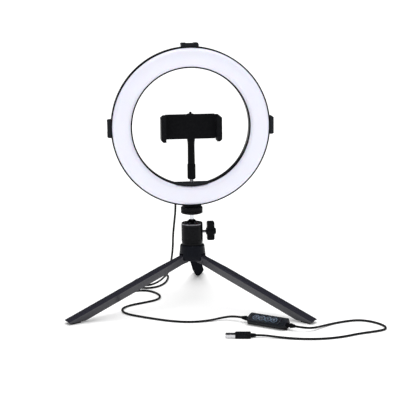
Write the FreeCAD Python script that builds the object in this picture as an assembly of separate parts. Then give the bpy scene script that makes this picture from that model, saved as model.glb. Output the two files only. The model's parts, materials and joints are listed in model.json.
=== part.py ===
"""Table-top ring light: tripod, ball head, LED ring, phone clamp and USB lead with its controller.

Units are millimetres. +Z is up, the floor is z = 0 and the tripod's hub stands on the Z axis.
The ring faces -Y. Every physical piece is written as one STEP file.
"""

import FreeCAD, Part
import math
import os

V = FreeCAD.Vector
X, Y, Z = V(1, 0, 0), V(0, 1, 0), V(0, 0, 1)

# ---------------------------------------------------------------- driving dimensions
# Tripod
TRIPOD_TURN = -8.0  # the tripod stands turned this many degrees under the ring
LEG_ANGLES = {"rear": 90.0, "left": 210.0, "right": 330.0}
PIVOT_R = 15.0
PIVOT_Z = 82.0
HINGE_PIN_R = 1.5
HINGE_PIN_HALF = 12.5
LEG_SLOPE = 21.6
LEG_START_R = 57.0
LEG_START_Z = 71.5
LEG_HALF_W = 9.75
LEG_DEPTH = 14.2
LEG_DOME = 2.2
LEG_APEX_HALF = 1.75
LEG_TIP_R = 228.5
LUG_W = 12.4
LUG_END_R = 7.0
FOOT_PAD_T = 2.0
FOOT_IN_R = 203.0
FOOT_OUT_R = 221.0
HUB_BOTTOM = 79.0
HUB_TOP = 104.0
HUB_R = 21.9
HUB_CAP_R = 6.8

# Ball head
STUD_R = 3.15  # quarter-inch camera thread
RUN_FIT = 0.06
WASHER_T = 0.4
HOUSING_R = 17.7
HOUSING_FOOT_TOP = 108.8
HOUSING_TOP = 138.2
BALL_Z = 137.5
BALL_R = 9.5
BALL_GAP = 0.3
NECK_R = 3.3
SEAT_R = 10.8
LOCK_Z = 125.0
KNOB_IN_X = 24.6
KNOB_OUT_X = 36.6
KNOB_R = 16.2
PLATFORM_R = 18.0
PLATFORM_Z0 = 155.7
PLATFORM_Z1 = 160.3
WHEEL_Z0 = 160.7
WHEEL_Z1 = 167.0

# Light ring
RING_Z = 299.4
RING_R_OUT = 129.5
RING_R_IN = 95.1
RING_WALL = 2.2
RING_FRONT = -8.0
RING_BACK = 10.0
LENS_CREST = -14.4
LENS_T = 1.8
BOARD_R0 = 103.5
BOARD_R1 = 121.5
BOARD_Y0 = 2.4
BOARD_Y1 = 4.0
LEDS_PER_ROW = 60
LED_ROWS = (108.5, 116.5)
BACK_SCREWS = 8
BLOCK_HALF_W = 15.1
BLOCK_HALF_D = 9.0
BLOCK_BOTTOM = 167.4
INSERT_R = 4.5
INSERT_TOP = 171.7
SHOE_HALF_W = 14.5
SHOE_HALF_D = 9.0
SHOE_TOP_R = 135.2
SHELF_HALF_W = 27.5
SHELF_FRONT = -12.0
SHELF_BACK = 4.0
SHELF_TOP = 208.7

# Phone clamp
STEM_Y = -5.0
STEM_R = 6.0
STEM_BALL_Z = 306.0
STEM_BALL_R = 6.5
STEM_NECK_R = 3.5
STEM_SHOULDER_Z = 289.4
COLLAR_Z0 = 213.9
COLLAR_Z1 = 239.0
COLLAR_R = 6.75
NUT_R = 14.7
NUT_Y0 = -12.6
NUT_Y1 = 3.4
SOCKET_BOSS_R = 10.5
PLATE_HALF_W = 40.5
PLATE_Z0 = 281.8
PLATE_Z1 = 321.2
PLATE_BACK = -13.0
PLATE_FRONT = -22.0
JAW_OUT_X = 48.8
CLAMP_SHIFT = -1.7  # the plate and jaws sit this far to one side of the ball
JAW_Z0 = 278.5
JAW_Z1 = 320.4
JAW_FRONT = -37.0
JAW_WALL = 5.0
JAW_LIP_T = 3.6
ROD_R = 1.5
JAW_GAP = 0.3  # between the closed sliding jaw and the plate
ROD_Z = (289.0, 312.0)

# Lead and its controller
CORD_R = 1.8
GLAND_X = -25.5
GLAND_Y = 16.0
GLAND_END_Z = 171.0
CTRL_LEN = 70.0
CTRL_W = 22.0
CTRL_H = 11.0
CTRL_ROLL = 25.0
CTRL_HEADING = -39.7
CTRL_CENTRE = (105.0, -142.5)
CTRL_SPLIT = 6.6
RELIEF_LEN = 13.5
BUTTON_R = 4.3
BUTTON_PITCH = 10.9
BUTTON_FIRST_X = -21.0
BUTTON_NAMES = ("power", "minus", "plus", "mode")
PLUG_HEADING = 171.5
PLUG_BACK = (68.4, -198.3)
PLUG_LEN = 24.0
PLUG_W = 15.0
PLUG_H = 7.5
PLUG_SHELL_LEN = 14.5

# Route of the lead from the ring to the controller: it hangs, comes down over its own loop on the
# floor, winds forward under the left leg and ends at the controller.
ROUTE_IN = [
    (-25.5, 16.0, 171.0),
    (-25.5, 16.0, 159.0),
    (-28.0, 15.6, 139.0),
    (-30.6, 14.8, 116.0),
    (-31.0, 17.4, 95.0),
    (-32.6, 27.0, 75.0),
    (-34.2, 43.0, 56.0),
    (-37.6, 62.0, 40.0),
    (-42.6, 80.0, 29.0),
    (-50.4, 96.0, 18.0),
    (-61.0, 108.0, 10.0),
    (-72.5, 117.0, 6.8),
    (-84.0, 129.0, 3.4),
    (-92.0, 143.0, 1.8),
    (-93.0, 160.0, 1.8),
    (-86.0, 179.0, 1.8),
    (-73.0, 197.0, 1.8),
    (-58.0, 213.0, 1.8),
    (-43.0, 221.0, 1.8),
    (-30.0, 215.0, 1.8),
    (-26.0, 199.0, 1.8),
    (-28.6, 179.0, 1.8),
    (-33.0, 158.0, 1.8),
    (-41.0, 137.0, 1.8),
    (-54.0, 121.0, 1.8),
    (-70.0, 117.0, 1.8),
    (-83.0, 121.6, 1.8),
    (-93.4, 126.6, 1.8),
    (-103.9, 122.8, 1.8),
    (-108.0, 112.9, 1.8),
    (-103.6, 102.9, 1.8),
    (-93.4, 99.4, 1.8),
    (-81.0, 103.0, 1.8),
    (-66.0, 97.0, 1.8),
    (-54.5, 78.0, 1.8),
    (-50.0, 56.0, 1.8),
    (-58.0, 35.0, 1.8),
    (-82.0, 20.5, 1.8),
    (-108.0, 6.0, 1.8),
    (-121.0, -15.0, 1.8),
    (-115.0, -43.0, 1.8),
    (-91.0, -64.0, 1.8),
    (-72.0, -78.6, 1.8),
    (-47.0, -96.0, 1.8),
    (-16.0, -108.0, 1.8),
    (16.0, -104.0, 2.0),
    (40.0, -97.0, 4.6),
    (55.43, -104.36, 7.69),
]
# Route from the controller to the plug.
ROUTE_OUT = [
    (149.29, -182.3, 7.69),
    (160.5, -182.3, 6.2),
    (170.5, -176.0, 4.4),
    (185.5, -163.0, 2.8),
    (204.0, -149.0, 1.8),
    (226.0, -139.5, 1.8),
    (248.0, -134.5, 1.8),
    (267.0, -145.0, 1.8),
    (282.0, -170.0, 1.8),
    (280.0, -192.0, 1.8),
    (257.0, -201.0, 1.8),
    (232.0, -208.0, 1.8),
    (204.0, -221.5, 1.8),
    (171.0, -227.0, 1.8),
    (139.0, -222.0, 1.8),
    (108.0, -210.0, 2.4),
    (88.2, -201.25, 3.75),
]


# ---------------------------------------------------------------- small tools
def write(name, shape):
    """Write one piece, as one solid or as a group of separate solids."""
    solids = shape.Solids
    if len(solids) == 1:
        shape = solids[0]
    else:
        shape = Part.makeCompound(solids)
    if not shape.isValid():
        print("NOT VALID", name)
    shape.exportStep("parts/" + name + ".step")
    print(name, len(solids), round(shape.Volume, 1))


def tube_z(r, z0, z1, x=0.0, y=0.0):
    """Round bar along Z."""
    return Part.makeCylinder(r, z1 - z0, V(x, y, z0), Z)


def tube_y(r, y0, y1, x=0.0, z=RING_Z):
    """Round bar along Y."""
    return Part.makeCylinder(r, y1 - y0, V(x, y0, z), Y)


def tube_x(r, x0, x1, y=0.0, z=0.0):
    """Round bar along X."""
    return Part.makeCylinder(r, x1 - x0, V(x0, y, z), X)


def block(x0, x1, y0, y1, z0, z1):
    """Straight block between two corners."""
    return Part.makeBox(x1 - x0, y1 - y0, z1 - z0, V(x0, y0, z0))


def turned_z(points, x=0.0, y=0.0):
    """Turned piece about a vertical axis from its (radius, height) outline."""
    corners = [V(x + r, y, z) for r, z in points]
    face = Part.Face(Part.makePolygon(corners + corners[:1]))
    return face.revolve(V(x, y, 0), Z, 360)


def turned_x(points, y, z):
    """Turned piece about an axis along X from its (x, radius) outline."""
    corners = [V(px, y, z + r) for px, r in points]
    face = Part.Face(Part.makePolygon(corners + corners[:1]))
    return face.revolve(V(0, y, z), X, 360)


def turned_ring(edges):
    """Solid turned about the ring's own axis from its outline edges in the plane x >= 0."""
    face = Part.Face(Part.Wire(edges))
    return face.revolve(V(0, 0, RING_Z), Y, 360)


def plate_xz(points, y0, y1):
    """Flat piece with an (x, z) outline, between two y planes."""
    corners = [V(px, y0, pz) for px, pz in points]
    face = Part.Face(Part.makePolygon(corners + corners[:1]))
    return face.extrude(V(0, y1 - y0, 0))


def around(shape, angle, centre=V(0, 0, 0), axis=Z):
    """Copy of a shape turned about an axis."""
    copy = shape.copy()
    copy.rotate(centre, axis, angle)
    return copy


def joined(shapes):
    """One solid from several that overlap."""
    first = shapes[0]
    return first.fuse(shapes[1:]).removeSplitter()


def flute(body, make_cut, count, centre, axis):
    """Cut the same groove round a grip."""
    cuts = [around(make_cut, 360.0 * n / count, centre, axis) for n in range(count)]
    return body.cut(cuts)


# ---------------------------------------------------------------- tripod
def leg_section(s, half_w, depth, apex_half, dome):
    """Outline across a leg at s along it: a domed top over two sloping faces and a narrow keel."""
    slope = math.radians(LEG_SLOPE)
    along = V(math.cos(slope), 0, -math.sin(slope))
    up = V(math.sin(slope), 0, math.cos(slope))
    base = V(LEG_START_R, 0, LEG_START_Z) + along * s

    def at(w, t):
        return base + up * t + V(0, w, 0)

    keel_l, keel_r = at(-apex_half, -depth), at(apex_half, -depth)
    edge_l, edge_r = at(-half_w, 0), at(half_w, 0)
    top = Part.Arc(edge_r, at(0, dome), edge_l).toShape()
    sides = [Part.makeLine(edge_l, keel_l), Part.makeLine(keel_l, keel_r), Part.makeLine(keel_r, edge_r)]
    return Part.Wire(sides + [top])


def leg():
    """One leg along +X: hinge lug, shoulder, long tapered V beam and a foot cut flat to the floor."""
    shoulder = Part.makeLoft(
        [leg_section(-36.0, LUG_W / 2, 12.0, 5.2, 0.6), leg_section(3.0, LEG_HALF_W, LEG_DEPTH, LEG_APEX_HALF, LEG_DOME)],
        True, True,
    )
    beam_len = (LEG_TIP_R + 6.0 - LEG_START_R) / math.cos(math.radians(LEG_SLOPE))
    beam = Part.makeLoft(
        [
            leg_section(3.0, LEG_HALF_W, LEG_DEPTH, LEG_APEX_HALF, LEG_DOME),
            leg_section(beam_len, LEG_HALF_W + 0.5, LEG_DEPTH, LEG_APEX_HALF + 0.4, LEG_DOME),
        ],
        True, True,
    )
    lug_outline = [
        (PIVOT_R - 1.6, PIVOT_Z + LUG_END_R - 0.6),
        (PIVOT_R + 2.4, PIVOT_Z + LUG_END_R - 0.6),
        (25.0, 84.0),
        (20.5, 73.4),
        (PIVOT_R - 1.8, PIVOT_Z - LUG_END_R + 0.4),
    ]
    lug = plate_xz(lug_outline, -LUG_W / 2, LUG_W / 2)
    eye = Part.makeCylinder(LUG_END_R, LUG_W, V(PIVOT_R, -LUG_W / 2, PIVOT_Z), Y)
    solid = joined([shoulder, beam, lug, eye])
    clear = plate_xz(
        [(0, 130), (LEG_TIP_R, 130), (LEG_TIP_R, 6.6), (FOOT_OUT_R + 1.0, FOOT_PAD_T), (0, FOOT_PAD_T)], -20, 20
    )
    solid = solid.common(clear)
    return solid.cut(Part.makeCylinder(HINGE_PIN_R + RUN_FIT, 30, V(PIVOT_R, -15, PIVOT_Z), Y))


def foot_pad():
    """Rubber pad under a leg's flat foot, wider at its outer end."""
    corners = [
        V(FOOT_IN_R, -3.6, 0),
        V(FOOT_OUT_R, -7.0, 0),
        V(FOOT_OUT_R, 7.0, 0),
        V(FOOT_IN_R, 3.6, 0),
    ]
    face = Part.Face(Part.makePolygon(corners + corners[:1]))
    pad = face.extrude(V(0, 0, FOOT_PAD_T))
    return pad.makeChamfer(0.5, [e for e in pad.Edges if max(v.Z for v in e.Vertexes) < 0.01])


def hub():
    """Moulded hub with three slots for the legs, a blind hole for the stud and cross holes for the pins."""
    body = turned_z([
        (0, HUB_BOTTOM), (20.4, HUB_BOTTOM), (HUB_R, HUB_BOTTOM + 2.0), (HUB_R, 87.0),
        (20.2, 102.6), (19.0, HUB_TOP), (0, HUB_TOP),
    ])
    slot = block(7.2, 40, -LUG_W / 2 - 0.3, LUG_W / 2 + 0.3, 60, PIVOT_Z + LUG_END_R + 1.3)
    pin_hole = Part.makeCylinder(HINGE_PIN_R, 2 * HINGE_PIN_HALF, V(PIVOT_R, -HINGE_PIN_HALF, PIVOT_Z), Y)
    for angle in LEG_ANGLES.values():
        body = body.cut([around(slot, angle), around(pin_hole, angle)])
    return body.cut(tube_z(STUD_R, 92.0, HUB_TOP + 1.0))


def tripod():
    """Hub with its pins, cap, washer and stud, three legs and three pads."""
    pin = Part.makeCylinder(HINGE_PIN_R, 2 * HINGE_PIN_HALF, V(PIVOT_R, -HINGE_PIN_HALF, PIVOT_Z), Y)
    pieces = {
        "tripod_hub": hub(),
        "hub_cap": turned_z([(0, 76.6), (6.2, 76.6), (HUB_CAP_R, 77.2), (HUB_CAP_R, HUB_BOTTOM), (0, HUB_BOTTOM)]),
        "hinge_pins": Part.makeCompound([around(pin, a) for a in LEG_ANGLES.values()]),
        "hub_washer": tube_z(15.0, HUB_TOP, HUB_TOP + WASHER_T).cut(tube_z(STUD_R + 0.2, 103, 106)),
        "base_stud": tube_z(STUD_R, 92.0, 112.6),
    }
    for name, angle in LEG_ANGLES.items():
        pieces["leg_" + name] = around(leg(), angle)
        pieces["foot_pad_" + name] = around(foot_pad(), angle)
    for name, shape in pieces.items():
        write(name, around(shape, TRIPOD_TURN))


# ---------------------------------------------------------------- ball head
def housing():
    """Turned ball-head body: foot, barrel with two shallow grooves, ball bore and the lock screw's hole."""
    body = turned_z([
        (0, HUB_TOP + WASHER_T), (16.6, HUB_TOP + WASHER_T), (17.2, 105.0), (17.2, HOUSING_FOOT_TOP - 0.4),
        (HOUSING_R, HOUSING_FOOT_TOP + 0.5), (HOUSING_R, HOUSING_TOP), (0, HOUSING_TOP),
    ])
    body = body.cut(tube_z(SEAT_R + 0.1, 120.0, HOUSING_TOP + 1))
    body = body.cut(tube_z(STUD_R + RUN_FIT, 100.0, 113.0))
    for z in (112.4, 133.4):
        groove = tube_z(HOUSING_R + 1, z, z + 0.9).cut(tube_z(HOUSING_R - 0.5, z - 1, z + 2))
        body = body.cut(groove)
    return body.cut(tube_x(2.5 + RUN_FIT, 0, 30, 0, LOCK_Z))


def retaining_ring():
    """Polished ring screwed on top of the housing, which keeps the ball in."""
    lip = 1.8
    r_pocket = BALL_R + BALL_GAP
    ring = turned_z([
        (8.0, HOUSING_TOP), (HOUSING_R - 0.2, HOUSING_TOP), (HOUSING_R - 0.2, 140.0), (16.9, 140.6),
        (14.4, 140.6), (math.sqrt(r_pocket ** 2 - lip ** 2), BALL_Z + lip), (8.0, BALL_Z + lip),
    ])
    return ring.cut(Part.makeSphere(r_pocket, V(0, 0, BALL_Z)))


def ball_seat():
    """Nylon cup that the lock screw presses against the ball."""
    cup = tube_z(SEAT_R, 120.2, 132.6).cut(Part.makeSphere(BALL_R + BALL_GAP, V(0, 0, BALL_Z)))
    return cup.cut(tube_x(2.5 + RUN_FIT, SEAT_R - 1.6, 30, 0, LOCK_Z))


def ball():
    """Steel ball with its neck and the platform disc turned in one piece."""
    neck = turned_z([
        (0, BALL_Z), (NECK_R, BALL_Z), (NECK_R, 153.6), (5.4, PLATFORM_Z0), (0, PLATFORM_Z0),
    ])
    return joined([Part.makeSphere(BALL_R, V(0, 0, BALL_Z)), neck])


def platform():
    """Disc under the light, bevelled below, bored for the stud."""
    disc = turned_z([
        (0, PLATFORM_Z0), (14.6, PLATFORM_Z0), (PLATFORM_R - 0.5, PLATFORM_Z0 + 1.1),
        (PLATFORM_R, PLATFORM_Z0 + 1.7), (PLATFORM_R, PLATFORM_Z1 - 0.5),
        (PLATFORM_R - 0.5, PLATFORM_Z1), (0, PLATFORM_Z1),
    ])
    return disc.cut(tube_z(STUD_R, PLATFORM_Z0 + 1.4, PLATFORM_Z1 + 1))


def lock_wheel():
    """Fluted nut on the stud, screwed up against the light's block."""
    wheel = turned_z([
        (STUD_R + RUN_FIT, WHEEL_Z0), (PLATFORM_R - 0.8, WHEEL_Z0), (PLATFORM_R, WHEEL_Z0 + 0.8),
        (PLATFORM_R, WHEEL_Z1 - 0.8), (PLATFORM_R - 0.8, WHEEL_Z1), (STUD_R + RUN_FIT, WHEEL_Z1),
    ])
    groove = tube_z(0.9, WHEEL_Z0 - 1, WHEEL_Z1 + 1, PLATFORM_R + 0.35, 0)
    return flute(wheel, groove, 36, V(0, 0, 0), Z)


def lock_knob():
    """Two-lobed knob with a tapered hub toward the housing and a small boss outside."""
    disc = turned_x(
        [(KNOB_IN_X, 0), (KNOB_IN_X, 14.8), (KNOB_IN_X + 1.4, KNOB_R), (KNOB_OUT_X - 1.6, KNOB_R),
         (KNOB_OUT_X, 14.6), (KNOB_OUT_X, 0)], 0, LOCK_Z + 1.0,
    )
    wings = block(KNOB_IN_X, KNOB_OUT_X, -6.5, 6.5, 90, 160)
    grip = joined([disc.common(wings), tube_x(9.5, KNOB_IN_X, KNOB_OUT_X, 0, LOCK_Z)])
    collar = KNOB_IN_X - 1.6
    hub_cone = turned_x([(collar, 0), (collar, 4.6), (KNOB_IN_X + 1.0, 7.6), (KNOB_IN_X + 1.0, 0)], 0, LOCK_Z)
    boss = turned_x([(KNOB_OUT_X - 1, 0), (KNOB_OUT_X - 1, 5.2), (38.4, 5.2), (39.4, 4.2), (39.4, 0)], 0, LOCK_Z)
    knob = joined([grip, hub_cone, boss])
    return knob.cut(tube_x(2.5, 15, KNOB_OUT_X - 3.0, 0, LOCK_Z))


def ball_head():
    """All pieces of the ball head."""
    write("ball_housing", housing())
    write("retaining_ring", retaining_ring())
    write("ball_seat", ball_seat())
    write("ball_neck", ball())
    write("platform_disc", platform())
    write("platform_stud", tube_z(STUD_R, PLATFORM_Z0 + 1.4, INSERT_TOP - 0.2))
    write("lock_wheel", lock_wheel())
    write("lock_knob", lock_knob())
    write("lock_screw", tube_x(2.5, SEAT_R - 1.4, KNOB_OUT_X - 3.0, 0, LOCK_Z))


# ---------------------------------------------------------------- light ring
def ring_point(r, y):
    """Point of the ring's turned outline."""
    return V(r, y, RING_Z)


def ring_outline(points):
    """Closed outline of straight edges."""
    corners = [ring_point(r, y) for r, y in points]
    closed = corners + corners[:1]
    return [Part.makeLine(closed[n], closed[n + 1]) for n in range(len(corners))]


def rear_cover():
    """Moulded channel that forms the back and both side walls of the ring."""
    edge = 3.0
    channel = turned_ring(ring_outline([
        (RING_R_IN, RING_FRONT), (RING_R_IN + RING_WALL, RING_FRONT), (RING_R_IN + RING_WALL, RING_BACK - 2.0),
        (RING_R_OUT - RING_WALL, RING_BACK - 2.0), (RING_R_OUT - RING_WALL, RING_FRONT), (RING_R_OUT, RING_FRONT),
        (RING_R_OUT, RING_BACK - edge), (RING_R_OUT - 0.9, RING_BACK - 0.9), (RING_R_OUT - edge, RING_BACK),
        (RING_R_IN + edge, RING_BACK), (RING_R_IN + 0.9, RING_BACK - 0.9), (RING_R_IN, RING_BACK - edge),
    ]))
    middle_r = (RING_R_IN + RING_R_OUT) / 2
    holes = []
    for n in range(BACK_SCREWS):
        seat = tube_y(2.6, RING_BACK - 1.2, RING_BACK + 1, middle_r, RING_Z)
        holes.append(around(seat, 360.0 * (n + 0.5) / BACK_SCREWS, V(0, 0, RING_Z), Y))
    lead_hole = tube_y(2.4, RING_BACK - 3, RING_BACK + 1, GLAND_X, 185.0)
    return channel.cut(holes + [lead_hole, tube_z(INSERT_R, 160, 175)])


def back_screws():
    """Pan-head screws round the back, one node."""
    middle_r = (RING_R_IN + RING_R_OUT) / 2
    head = tube_y(2.4, RING_BACK - 1.2, RING_BACK - 0.2, middle_r, RING_Z)
    head = head.cut([
        block(middle_r - 1.6, middle_r + 1.6, RING_BACK - 0.7, RING_BACK, RING_Z - 0.3, RING_Z + 0.3),
        block(middle_r - 0.3, middle_r + 0.3, RING_BACK - 0.7, RING_BACK, RING_Z - 1.6, RING_Z + 1.6),
    ])
    turns = [360.0 * (n + 0.5) / BACK_SCREWS for n in range(BACK_SCREWS)]
    return Part.makeCompound([around(head, a, V(0, 0, RING_Z), Y) for a in turns])


def lens_line(inset):
    """Edges of the diffuser's domed outline from its inner foot to its outer foot, inset by a wall."""
    r0, r1 = RING_R_IN + RING_WALL + 0.1 + inset, RING_R_OUT - RING_WALL - 0.1 - inset
    mid = (r0 + r1) / 2
    crest = LENS_CREST + inset
    shoulder = RING_FRONT - 0.4 + inset * 0.6
    flat = 6.4 - inset
    knee_r, knee_y = 1.75 - 0.3 * inset, 1.55 - 0.2 * inset
    p = [
        ring_point(r0, -4.0), ring_point(r0, shoulder), ring_point(r0 + knee_r, crest + knee_y + 1.0),
        ring_point(r0 + flat, crest + 0.5), ring_point(mid, crest), ring_point(r1 - flat, crest + 0.5),
        ring_point(r1 - knee_r, crest + knee_y + 1.0), ring_point(r1, shoulder), ring_point(r1, -4.0),
    ]
    return [
        Part.makeLine(p[0], p[1]), Part.Arc(p[1], p[2], p[3]).toShape(), Part.Arc(p[3], p[4], p[5]).toShape(),
        Part.Arc(p[5], p[6], p[7]).toShape(), Part.makeLine(p[7], p[8]),
    ]


def diffuser():
    """Milky domed lens ring, a shell open at the back."""
    outside = lens_line(0.0)
    inside = lens_line(LENS_T)
    feet = [
        Part.makeLine(outside[0].Vertexes[0].Point, inside[0].Vertexes[0].Point),
        Part.makeLine(outside[-1].Vertexes[-1].Point, inside[-1].Vertexes[-1].Point),
    ]
    wire = Part.Wire(Part.__sortEdges__(outside + inside + feet))
    return Part.Face(wire).revolve(V(0, 0, RING_Z), Y, 360)


def flat_ring(r0, r1, y0, y1):
    """Flat washer round the ring's axis."""
    return turned_ring(ring_outline([(r0, y0), (r1, y0), (r1, y1), (r0, y1)]))


def led_chips():
    """Two rows of small square LEDs, one node."""
    chips = []
    for row, r in enumerate(LED_ROWS):
        chip = block(r - 1.4, r + 1.4, BOARD_Y0 - 0.8, BOARD_Y0, RING_Z - 1.75, RING_Z + 1.75)
        step = 360.0 / LEDS_PER_ROW
        chips += [around(chip, step * (n + 0.5 * row), V(0, 0, RING_Z), Y) for n in range(LEDS_PER_ROW)]
    return Part.makeCompound(chips)


def accessory_shoe():
    """Cold shoe on top of the rim: a T slot open at the back and closed in front."""
    floor_z, lip_z, top_z = RING_Z + 130.9, RING_Z + 133.2, RING_Z + SHOE_TOP_R
    side = 1.4
    shoe = plate_xz(
        [(-SHOE_HALF_W, RING_Z + 124), (SHOE_HALF_W, RING_Z + 124), (SHOE_HALF_W, top_z - 2.4),
         (SHOE_HALF_W - side, top_z), (side - SHOE_HALF_W, top_z), (-SHOE_HALF_W, top_z - 2.4)],
        -SHOE_HALF_D, SHOE_HALF_D,
    )
    foot_slot = block(-9.4, 9.4, -SHOE_HALF_D + 2.5, SHOE_HALF_D + 1, floor_z, lip_z)
    neck_slot = block(-6.3, 6.3, -SHOE_HALF_D + 2.5, SHOE_HALF_D + 1, floor_z, top_z + 1)
    return shoe.cut([tube_y(RING_R_OUT, -20, 20), foot_slot, neck_slot])


def base_block():
    """Block under the rim that the ball head screws into."""
    body = plate_xz(
        [(-BLOCK_HALF_W + 0.8, BLOCK_BOTTOM), (BLOCK_HALF_W - 0.8, BLOCK_BOTTOM), (BLOCK_HALF_W, BLOCK_BOTTOM + 1.2),
         (BLOCK_HALF_W - 0.6, 180), (-BLOCK_HALF_W + 0.6, 180), (-BLOCK_HALF_W, BLOCK_BOTTOM + 1.2)],
        -BLOCK_HALF_D, BLOCK_HALF_D,
    )
    return body.cut([tube_y(RING_R_OUT, -20, 20), tube_z(INSERT_R, 160, 180)])


def shelf():
    """Shelf on the inside of the rim that carries the phone clamp's stud."""
    body = block(-SHELF_HALF_W, SHELF_HALF_W, SHELF_FRONT, SHELF_BACK, 195, SHELF_TOP)
    inside = tube_y(RING_R_IN, SHELF_FRONT - 1, SHELF_BACK + 1)
    body = body.common(inside)
    return body.cut(tube_z(STUD_R, 205.6, SHELF_TOP + 1, 0, STEM_Y))


def lead_gland():
    """Housing on the back cover with a ribbed strain relief pointing down."""
    top_z = 190.0
    box = block(GLAND_X - 6, GLAND_X + 6, RING_BACK, GLAND_Y + 5, 179.0, top_z)
    box = box.makeChamfer(1.0, [e for e in box.Edges if min(v.Y for v in e.Vertexes) > GLAND_Y + 4.9])
    cone = turned_z([(0, GLAND_END_Z), (2.5, GLAND_END_Z), (3.8, 179.5), (0, 179.5)], GLAND_X, GLAND_Y)
    body = joined([box, cone])
    for z in (172.6, 174.8, 177.0):
        rib = tube_z(6, z, z + 0.9, GLAND_X, GLAND_Y).cut(tube_z(2.6, z - 1, z + 2, GLAND_X, GLAND_Y))
        body = body.cut(rib)
    return body


def light_ring():
    """All pieces of the light itself."""
    write("rear_cover", rear_cover())
    write("back_screws", back_screws())
    write("diffuser", diffuser())
    write("led_board", flat_ring(BOARD_R0, BOARD_R1, BOARD_Y0, BOARD_Y1))
    write("led_chips", led_chips())
    write("reflector", flat_ring(RING_R_IN + RING_WALL + 0.6, RING_R_OUT - RING_WALL - 0.6, BOARD_Y1, 5.2))
    shoe = accessory_shoe()
    for name, angle in (("top", 0.0), ("left", -90.0), ("right", 90.0)):
        write("shoe_" + name, around(shoe, angle, V(0, 0, RING_Z), Y))
    write("base_block", base_block())
    write("base_insert", tube_z(INSERT_R, BLOCK_BOTTOM, INSERT_TOP).cut(tube_z(STUD_R + RUN_FIT, 160, 175)))
    write("phone_shelf", shelf())
    write("phone_stud", tube_z(STUD_R, 205.6, 226.0, 0, STEM_Y))
    write("lead_gland", lead_gland())


# ---------------------------------------------------------------- phone clamp
def stem_collar():
    """Fluted nut at the foot of the stem, on the shelf's stud."""
    collar = turned_z([
        (STUD_R + RUN_FIT, COLLAR_Z0), (5.6, COLLAR_Z0), (COLLAR_R, COLLAR_Z0 + 1.6), (COLLAR_R, COLLAR_Z1 - 1.4),
        (6.0, COLLAR_Z1), (4.0, COLLAR_Z1), (4.0, 228.0), (STUD_R + RUN_FIT, 228.0),
    ], 0, STEM_Y)
    groove = tube_z(0.8, COLLAR_Z0 + 3.0, COLLAR_Z1 - 3.0, COLLAR_R + 0.3, STEM_Y)
    return flute(collar, groove, 16, V(0, STEM_Y, 0), Z)


def stem_rod():
    """Stem with a spigot in its collar, a small flange near the top, a neck and a ball."""
    rod = turned_z([
        (0, 228.2), (4.0, 228.2), (4.0, COLLAR_Z1), (STEM_R, COLLAR_Z1), (STEM_R - 0.3, 268.0), (STEM_R, 275.4),
        (6.4, 276.6), (6.4, 280.0), (STEM_R, 281.2), (STEM_R, 286.4), (STEM_NECK_R, STEM_SHOULDER_Z),
        (STEM_NECK_R, STEM_BALL_Z), (0, STEM_BALL_Z),
    ], 0, STEM_Y)
    return joined([rod, Part.makeSphere(STEM_BALL_R, V(0, STEM_Y, STEM_BALL_Z))])


def socket_nut():
    """Lock nut of the clamp's ball socket, notched downward so that the stem can stand upright in it."""
    nut = tube_y(NUT_R, NUT_Y0, NUT_Y1, 0, STEM_BALL_Z)
    nut = nut.cut(tube_y(SOCKET_BOSS_R + 0.3, NUT_Y0 - 1, -8.6, 0, STEM_BALL_Z))
    nut = nut.cut(Part.makeSphere(STEM_BALL_R + 0.3, V(0, STEM_Y, STEM_BALL_Z)))
    nut = nut.cut(tube_y(STEM_BALL_R + 0.3, -9, STEM_Y, 0, STEM_BALL_Z))
    half_slot = STEM_NECK_R + 0.4
    slot = block(-half_slot, half_slot, STEM_Y - half_slot, 10, STEM_BALL_Z - 20, STEM_BALL_Z)
    throat = tube_y(half_slot, STEM_Y, 10, 0, STEM_BALL_Z)
    nut = nut.cut([slot, throat])
    groove = tube_y(1.1, NUT_Y0 + 3, NUT_Y1 + 1, NUT_R + 0.3, STEM_BALL_Z)
    grip_tab = block(-1.8, 1.8, NUT_Y1 - 6, NUT_Y1, STEM_BALL_Z + NUT_R - 1, STEM_BALL_Z + NUT_R + 2.4)
    centre = V(0, 0, STEM_BALL_Z)
    grooves = [around(groove, a, centre, Y) for a in range(-60, 240, 20) if abs(a + 90) > 35 and abs(a - 270) > 35]
    return joined([nut.cut(grooves), grip_tab])


def jaw_outline(side):
    """(x, z) outline of a jaw with chamfered outer corners, its tail reaching below the plate."""
    inner, outer = PLATE_HALF_W, JAW_OUT_X
    return [
        (side * inner, JAW_Z0), (side * (outer - 3.4), JAW_Z0), (side * outer, JAW_Z0 + 3.4),
        (side * outer, JAW_Z1 - 3.6), (side * (outer - 4.6), JAW_Z1), (side * inner, JAW_Z1),
    ]


def jaw(side):
    """Jaw wall with a lip in front that hooks over the phone's edge."""
    body = plate_xz(jaw_outline(side), JAW_FRONT, PLATE_BACK)
    x_wall = side * (JAW_OUT_X - JAW_WALL)
    x_in = side * (PLATE_HALF_W - 1)
    hollow = block(min(x_wall, x_in), max(x_wall, x_in), JAW_FRONT + JAW_LIP_T, PLATE_FRONT, JAW_Z0 - 1, JAW_Z1 + 1)
    return body.cut(hollow)


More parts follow.
